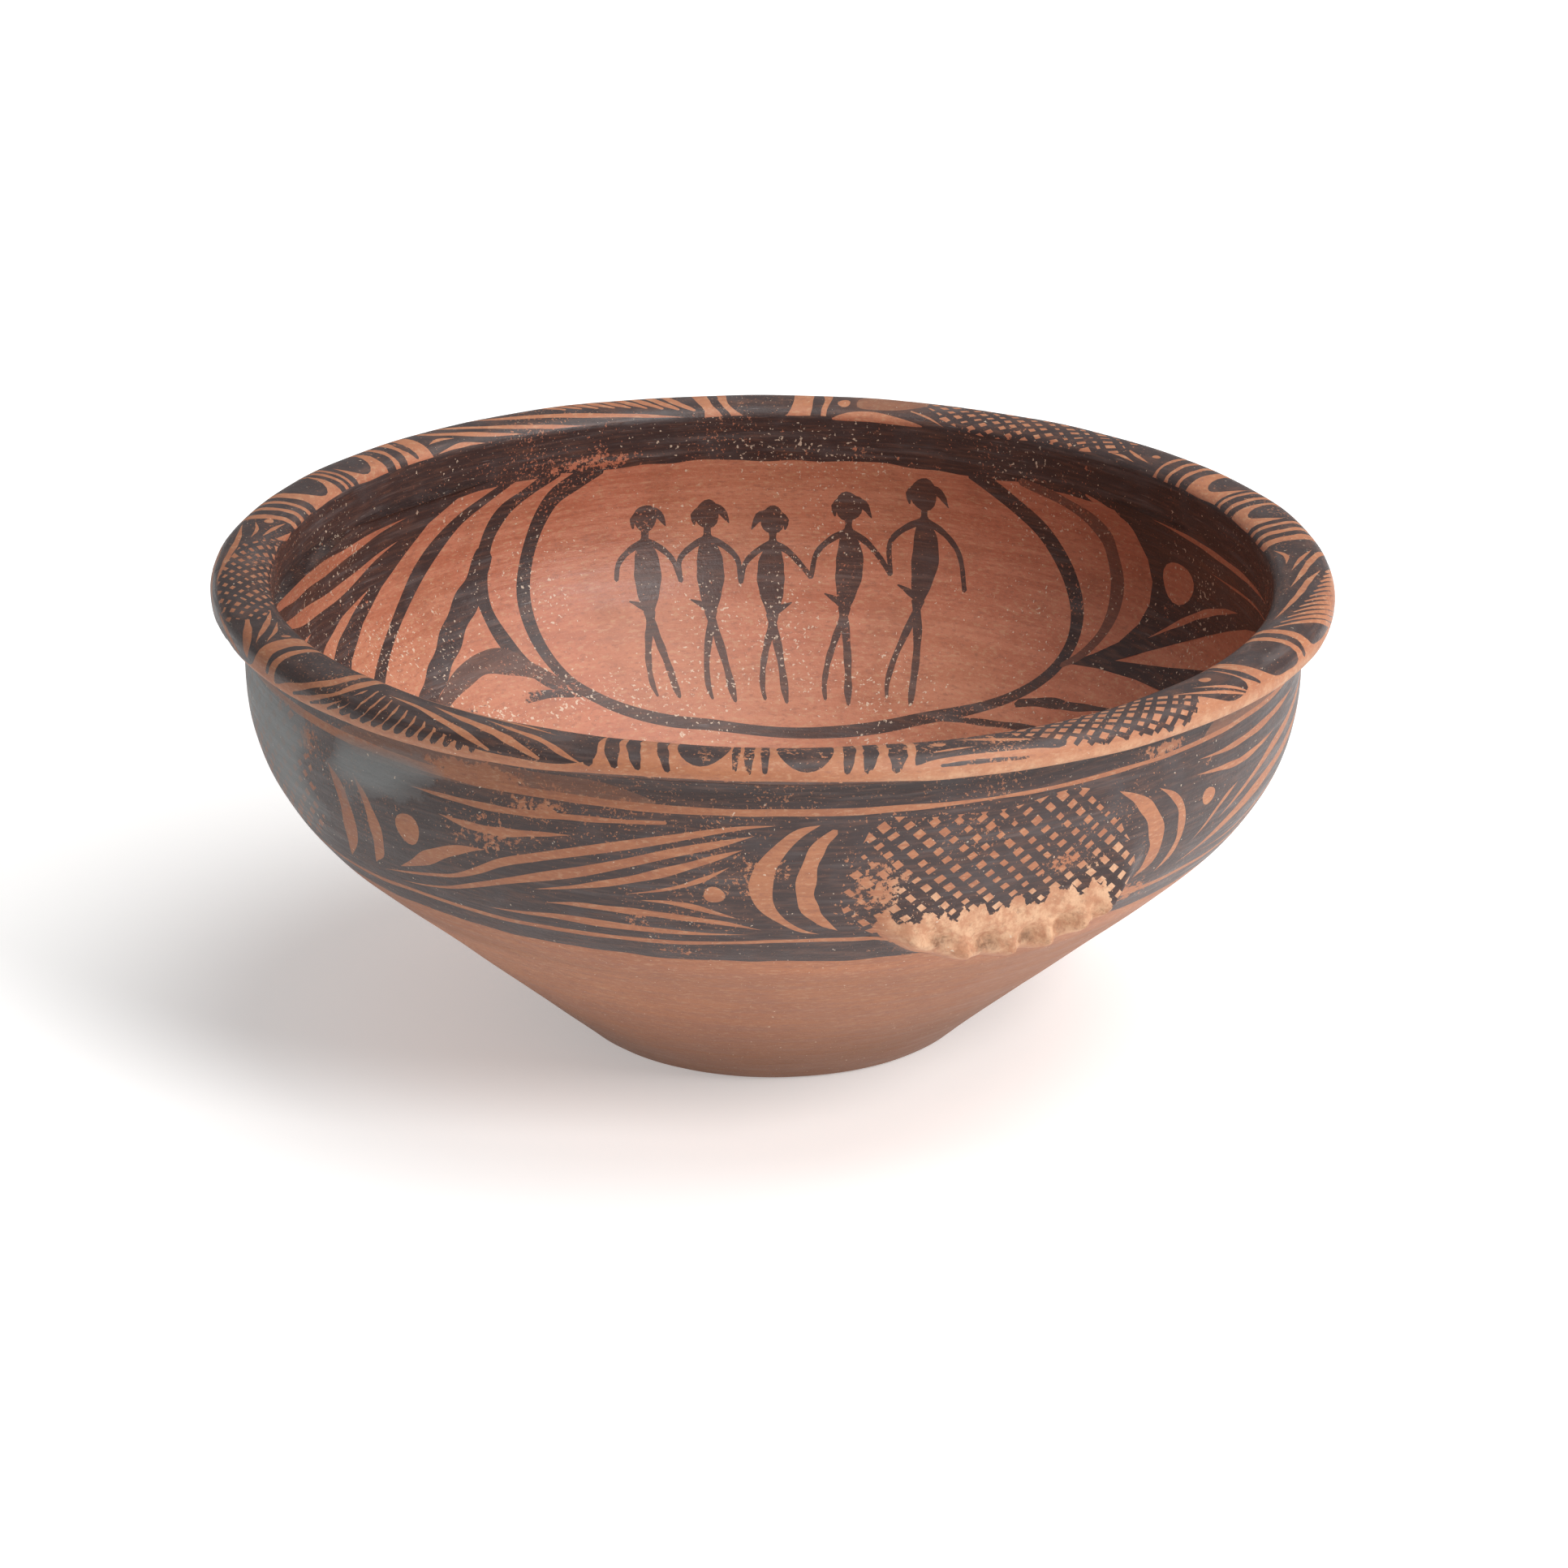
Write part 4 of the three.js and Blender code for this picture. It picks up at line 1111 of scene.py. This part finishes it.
class Nodes:
    """Short ways to add shader nodes to one material."""

    def __init__(self, name):
        self.material = bpy.data.materials.new(name)
        self.material.use_nodes = True
        self.tree = self.material.node_tree
        self.tree.nodes.clear()

    def add(self, kind, **settings):
        node = self.tree.nodes.new(kind)
        for key, value in settings.items():
            setattr(node, key, value)
        return node

    def link(self, source, target):
        self.tree.links.new(source, target)

    def feed(self, socket, value):
        if isinstance(value, bpy.types.NodeSocket):
            self.link(value, socket)
        else:
            socket.default_value = value

    def attribute(self, name):
        return self.add("ShaderNodeAttribute", attribute_name=name).outputs["Fac"]

    def math(self, operation, a, b=0.0, clamp=False):
        node = self.add("ShaderNodeMath", operation=operation, use_clamp=clamp)
        self.feed(node.inputs[0], a)
        self.feed(node.inputs[1], b)
        return node.outputs[0]

    def times(self, a, b, clamp=False):
        return self.math("MULTIPLY", a, b, clamp)

    def plus(self, a, b, clamp=False):
        return self.math("ADD", a, b, clamp)

    def minus(self, a, b):
        return self.math("SUBTRACT", a, b)

    def most(self, a, b):
        return self.math("MAXIMUM", a, b)

    def span(self, value, low, high, out_low=0.0, out_high=1.0):
        """value carried smoothly from low..high to out_low..out_high."""
        node = self.add("ShaderNodeMapRange", interpolation_type="SMOOTHSTEP")
        self.feed(node.inputs["Value"], value)
        self.feed(node.inputs["From Min"], low)
        self.feed(node.inputs["From Max"], high)
        self.feed(node.inputs["To Min"], out_low)
        self.feed(node.inputs["To Max"], out_high)
        return node.outputs["Result"]

    def mix(self, amount, a, b, blend="MIX"):
        node = self.add("ShaderNodeMix", data_type="RGBA", blend_type=blend)
        self.feed(node.inputs["Factor"], amount)
        self.feed(node.inputs["A"], a if isinstance(a, bpy.types.NodeSocket) else (*a, 1))
        self.feed(node.inputs["B"], b if isinstance(b, bpy.types.NodeSocket) else (*b, 1))
        return node.outputs["Result"]

    def noise(self, scale, detail=3.0, roughness=0.55, stretch=(1, 1, 1), shift=(0, 0, 0), distortion=0.0):
        coordinates = self.add("ShaderNodeTexCoord")
        mapping = self.add("ShaderNodeMapping")
        mapping.inputs["Scale"].default_value = stretch
        mapping.inputs["Location"].default_value = shift
        self.link(coordinates.outputs["Object"], mapping.inputs["Vector"])
        node = self.add("ShaderNodeTexNoise")
        node.inputs["Scale"].default_value = scale
        node.inputs["Detail"].default_value = detail
        node.inputs["Roughness"].default_value = roughness
        node.inputs["Distortion"].default_value = distortion
        self.link(mapping.outputs["Vector"], node.inputs["Vector"])
        return node.outputs["Fac"]


def clay_material():
    """Fired clay under slip, with its wear, bloom, specks, dirt, painted shade and a painted highlight."""
    n = Nodes("fired_clay")
    slip, worn, ash, thin, inside = map(n.attribute, ("slip", "worn", "ash", "thin", "inside"))
    lip, lug, hollow_shade, chalk, soil_and_shade = map(n.attribute, ("lip", "lug", "hollow_shade", "chalk", "soil_and_shade"))
    left_shade = n.attribute("left_shade")

    clouds = n.noise(16, 3)
    mottle = n.noise(75, 4, 0.6)
    grain = n.noise(900, 3, 0.6)
    crumbs = n.noise(620, 5, 0.72, distortion=0.3)
    flecks = n.noise(420, 4, 0.62, stretch=(1, 1, 3.2), shift=(2, 2, 5))
    streaks = n.noise(28, 5, 0.62, stretch=(1, 1, 17))
    hair = n.noise(120, 4, 0.6, stretch=(1, 1, 9), shift=(3, 1, 2))
    specks = n.noise(950, 2, 0.5, shift=(5, 2, 7))
    pepper = n.noise(1300, 2, 0.6, shift=(3, 5, 1))
    pepper_fields = n.noise(24, 4, 0.65, shift=(9, 2, 6))
    chips = n.noise(520, 3, 0.6, shift=(1, 4, 9), distortion=0.6)
    rubble = n.noise(240, 5, 0.7, shift=(6, 3, 1))
    scratches = n.noise(90, 3, 0.6, stretch=(1, 1, 26), shift=(2, 7, 4))
    speck_fields = n.noise(30, 3, 0.6, shift=(1, 8, 3))

    # bare clay: redder and burnished inside, browner and streaked outside, more orange on the lip
    outer = n.mix(n.span(streaks, 0.36, 0.64), (0.335, 0.120, 0.055), (0.42, 0.168, 0.083))
    inner = n.mix(n.span(streaks, 0.36, 0.66), (0.41, 0.135, 0.077), (0.49, 0.185, 0.111))
    clay = n.mix(inside, outer, inner)
    clay = n.mix(n.times(lip, 0.85), clay, (0.40, 0.158, 0.078))
    clay = n.mix(n.span(clouds, 0.38, 0.7, 0.0, 0.3), clay, (0.47, 0.225, 0.128))
    clay = n.mix(n.span(mottle, 0.45, 0.75, 0.0, 0.45), clay, (0.29, 0.105, 0.058))
    clay = n.mix(n.span(flecks, 0.53, 0.66, 0.0, 0.5), clay, (0.50, 0.285, 0.17))
    clay = n.mix(n.span(flecks, 0.47, 0.33, 0.0, 0.5), clay, (0.27, 0.11, 0.07))
    # brown dirt and painted shade on the plain clay below the band
    clay = n.mix(n.times(soil_and_shade, 0.75), clay, (0.185, 0.082, 0.042))
    # pale rubbed clay on the lugs, and a painted highlight on the lip's lower corner at the right front
    pale = n.mix(n.span(rubble, 0.38, 0.62), (0.65, 0.395, 0.245), (0.49, 0.24, 0.138))
    pale = n.mix(n.span(crumbs, 0.5, 0.72, 0.0, 0.5), pale, (0.26, 0.125, 0.07))
    clay = n.mix(lug, clay, pale)
    clay = n.mix(n.span(grain, 0.54, 0.74, 0.0, 0.15), clay, (0.60, 0.38, 0.25))

    # slip: brown where it is thin, nearly black where it is thick
    brushed = n.span(hair, 0.44, 0.72, 0.0, 0.6)
    thinness = n.plus(n.times(thin, 0.75), brushed, clamp=True)
    dark = n.mix(thinness, (0.036, 0.023, 0.023), (0.125, 0.058, 0.040))
    dark = n.mix(n.span(mottle, 0.48, 0.78, 0.0, 0.55), dark, (0.075, 0.062, 0.064))
    dark = n.mix(n.times(n.span(streaks, 0.5, 0.72), 0.36), dark, (0.16, 0.132, 0.128))
    dark = n.mix(n.times(n.span(scratches, 0.64, 0.76, 0.0, 0.7), inside), dark,
                 (0.19, 0.16, 0.155))

    # slip that has flaked or rubbed off
    chance = n.plus(n.times(crumbs, 0.6), n.times(mottle, 0.4))
    limit = n.span(worn, 0.0, 1.0, 0.33, 0.82)
    lost = n.span(n.minus(limit, chance), -0.018, 0.018)
    fine_loss = n.plus(pepper, n.span(pepper_fields, 0.42, 0.68, 0.0, 0.13))
    lost = n.most(lost, n.span(fine_loss, 0.70, 0.745, 0.0, 0.8))
    covered = n.times(slip, n.minus(1.0, lost), clamp=True)
    colour = n.mix(covered, clay, dark)

    # painted shade on the left side, grey bloom, cream mineral specks and painted shade in the fingertip
    # hollows
    colour = n.mix(n.times(left_shade, 0.9), colour, (0.56, 0.53, 0.51), "MULTIPLY")
    bloom = n.plus(ash, n.minus(n.times(mottle, 0.9), 0.45))
    bloom = n.plus(bloom, n.minus(n.times(crumbs, 0.4), 0.2))
    thick = n.span(ash, 0.35, 1.0, 0.3, 1.0)
    bloom = n.times(n.span(bloom, 0.30, 0.44), thick, clamp=True)
    colour = n.mix(n.times(bloom, 0.84), colour, (0.190, 0.197, 0.195))
    field = n.times(n.span(speck_fields, 0.34, 0.7, 0.03, 0.2), chalk)
    spot = n.span(n.plus(specks, field), 0.735, 0.775)
    large = n.span(n.plus(chips, field), 0.79, 0.81)
    spot = n.most(spot, large)
    colour = n.mix(n.times(spot, 0.75), colour, (0.66, 0.52, 0.40))
    # painted shade in the fingertip hollows under the lugs
    colour = n.mix(n.times(hollow_shade, n.span(crumbs, 0.3, 0.6, 0.25, 0.75)), colour,
                   (0.12, 0.062, 0.036))

    brushwork = n.times(n.plus(streaks, hair), 0.45)
    relief = n.plus(brushwork, n.plus(n.times(grain, 0.22), n.times(crumbs, 0.5)))
    relief = n.plus(relief, n.times(spot, 0.12))
    relief = n.plus(relief, n.times(n.times(lug, rubble), 4.0))
    bump = n.add("ShaderNodeBump")
    bump.inputs["Strength"].default_value = 0.4
    bump.inputs["Distance"].default_value = 0.0005
    n.link(relief, bump.inputs["Height"])

    shader = n.add("ShaderNodeBsdfPrincipled")
    n.link(colour, shader.inputs["Base Color"])
    rough = n.span(n.plus(streaks, n.times(grain, 0.3)), 0.4, 0.9, 0.46, 0.66)
    rough = n.minus(rough, n.times(n.most(covered, inside), 0.12))
    rough = n.plus(rough, n.times(n.most(bloom, lug), 0.2), clamp=True)
    n.link(rough, shader.inputs["Roughness"])
    shader.inputs["Specular IOR Level"].default_value = 0.42
    n.link(bump.outputs["Normal"], shader.inputs["Normal"])
    output = n.add("ShaderNodeOutputMaterial")
    n.link(shader.outputs["BSDF"], output.inputs["Surface"])
    return n.material


def floor_material():
    """A plain, pale and dull floor."""
    n = Nodes("pale_floor")
    shader = n.add("ShaderNodeBsdfPrincipled")
    shader.inputs["Base Color"].default_value = (0.86, 0.86, 0.86, 1)
    shader.inputs["Roughness"].default_value = 1.0
    shader.inputs["Specular IOR Level"].default_value = 0.0
    shader.inputs["Emission Color"].default_value = (1, 1, 1, 1)
    shader.inputs["Emission Strength"].default_value = 0.34
    output = n.add("ShaderNodeOutputMaterial")
    n.link(shader.outputs["BSDF"], output.inputs["Surface"])
    return n.material


# Camera, light and floor


def add_camera():
    data = bpy.data.cameras.new("camera")
    data.sensor_width = SENSOR
    data.lens = SENSOR * FOCAL_PIXELS / PHOTO_PIXELS
    data.clip_end = 20
    camera = bpy.data.objects.new("camera", data)
    elevation = math.radians(CAMERA_ELEVATION)
    camera.location = (0, -CAMERA_DISTANCE * math.cos(elevation), CAMERA_DISTANCE * math.sin(elevation))
    camera.rotation_euler = (math.radians(90 - CAMERA_PITCH), 0, math.radians(-CAMERA_YAW))
    bpy.context.scene.collection.objects.link(camera)
    bpy.context.scene.camera = camera


def add_area(name, place, target, size, watts, colour=(1, 1, 1)):
    data = bpy.data.lights.new(name, "AREA")
    data.shape = "DISK"
    data.size = size
    data.energy = watts
    data.color = colour
    light = bpy.data.objects.new(name, data)
    light.location = place
    direction = Vector(target) - Vector(place)
    light.rotation_euler = direction.to_track_quat("-Z", "Y").to_euler()
    bpy.context.scene.collection.objects.link(light)


def add_studio():
    scene = bpy.context.scene
    scene.view_settings.view_transform = "Standard"
    scene.view_settings.look = "None"
    world = bpy.data.worlds.new("studio")
    world.use_nodes = True
    background = world.node_tree.nodes["Background"]
    background.inputs["Color"].default_value = (1, 1, 1, 1)
    background.inputs["Strength"].default_value = 0.32
    scene.world = world
    middle = (0, 0, 0.07)
    add_area("key", (1.05, 0.15, 2.95), middle, 3.1, 74, (1.0, 0.985, 0.965))
    add_area("front", (2.45, -2.4, 2.5), middle, 1.6, 118, (1.0, 0.99, 0.98))
    floor = bpy.data.meshes.new("floor")
    half = 6.0
    floor.from_pydata([(-half, -half, 0), (half, -half, 0), (half, half, 0), (-half, half, 0)], [],
                      [(0, 1, 2, 3)])
    floor_object = bpy.data.objects.new("floor", floor)
    floor.materials.append(floor_material())
    scene.collection.objects.link(floor_object)


add_camera()
bowl_mesh = mesh_of(build_bowl())
bowl_mesh.materials.append(clay_material())
bowl = bpy.data.objects.new("painted_bowl", bowl_mesh)
bpy.context.scene.collection.objects.link(bowl)
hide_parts("bowl")
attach(bowl, "root")
add_studio()
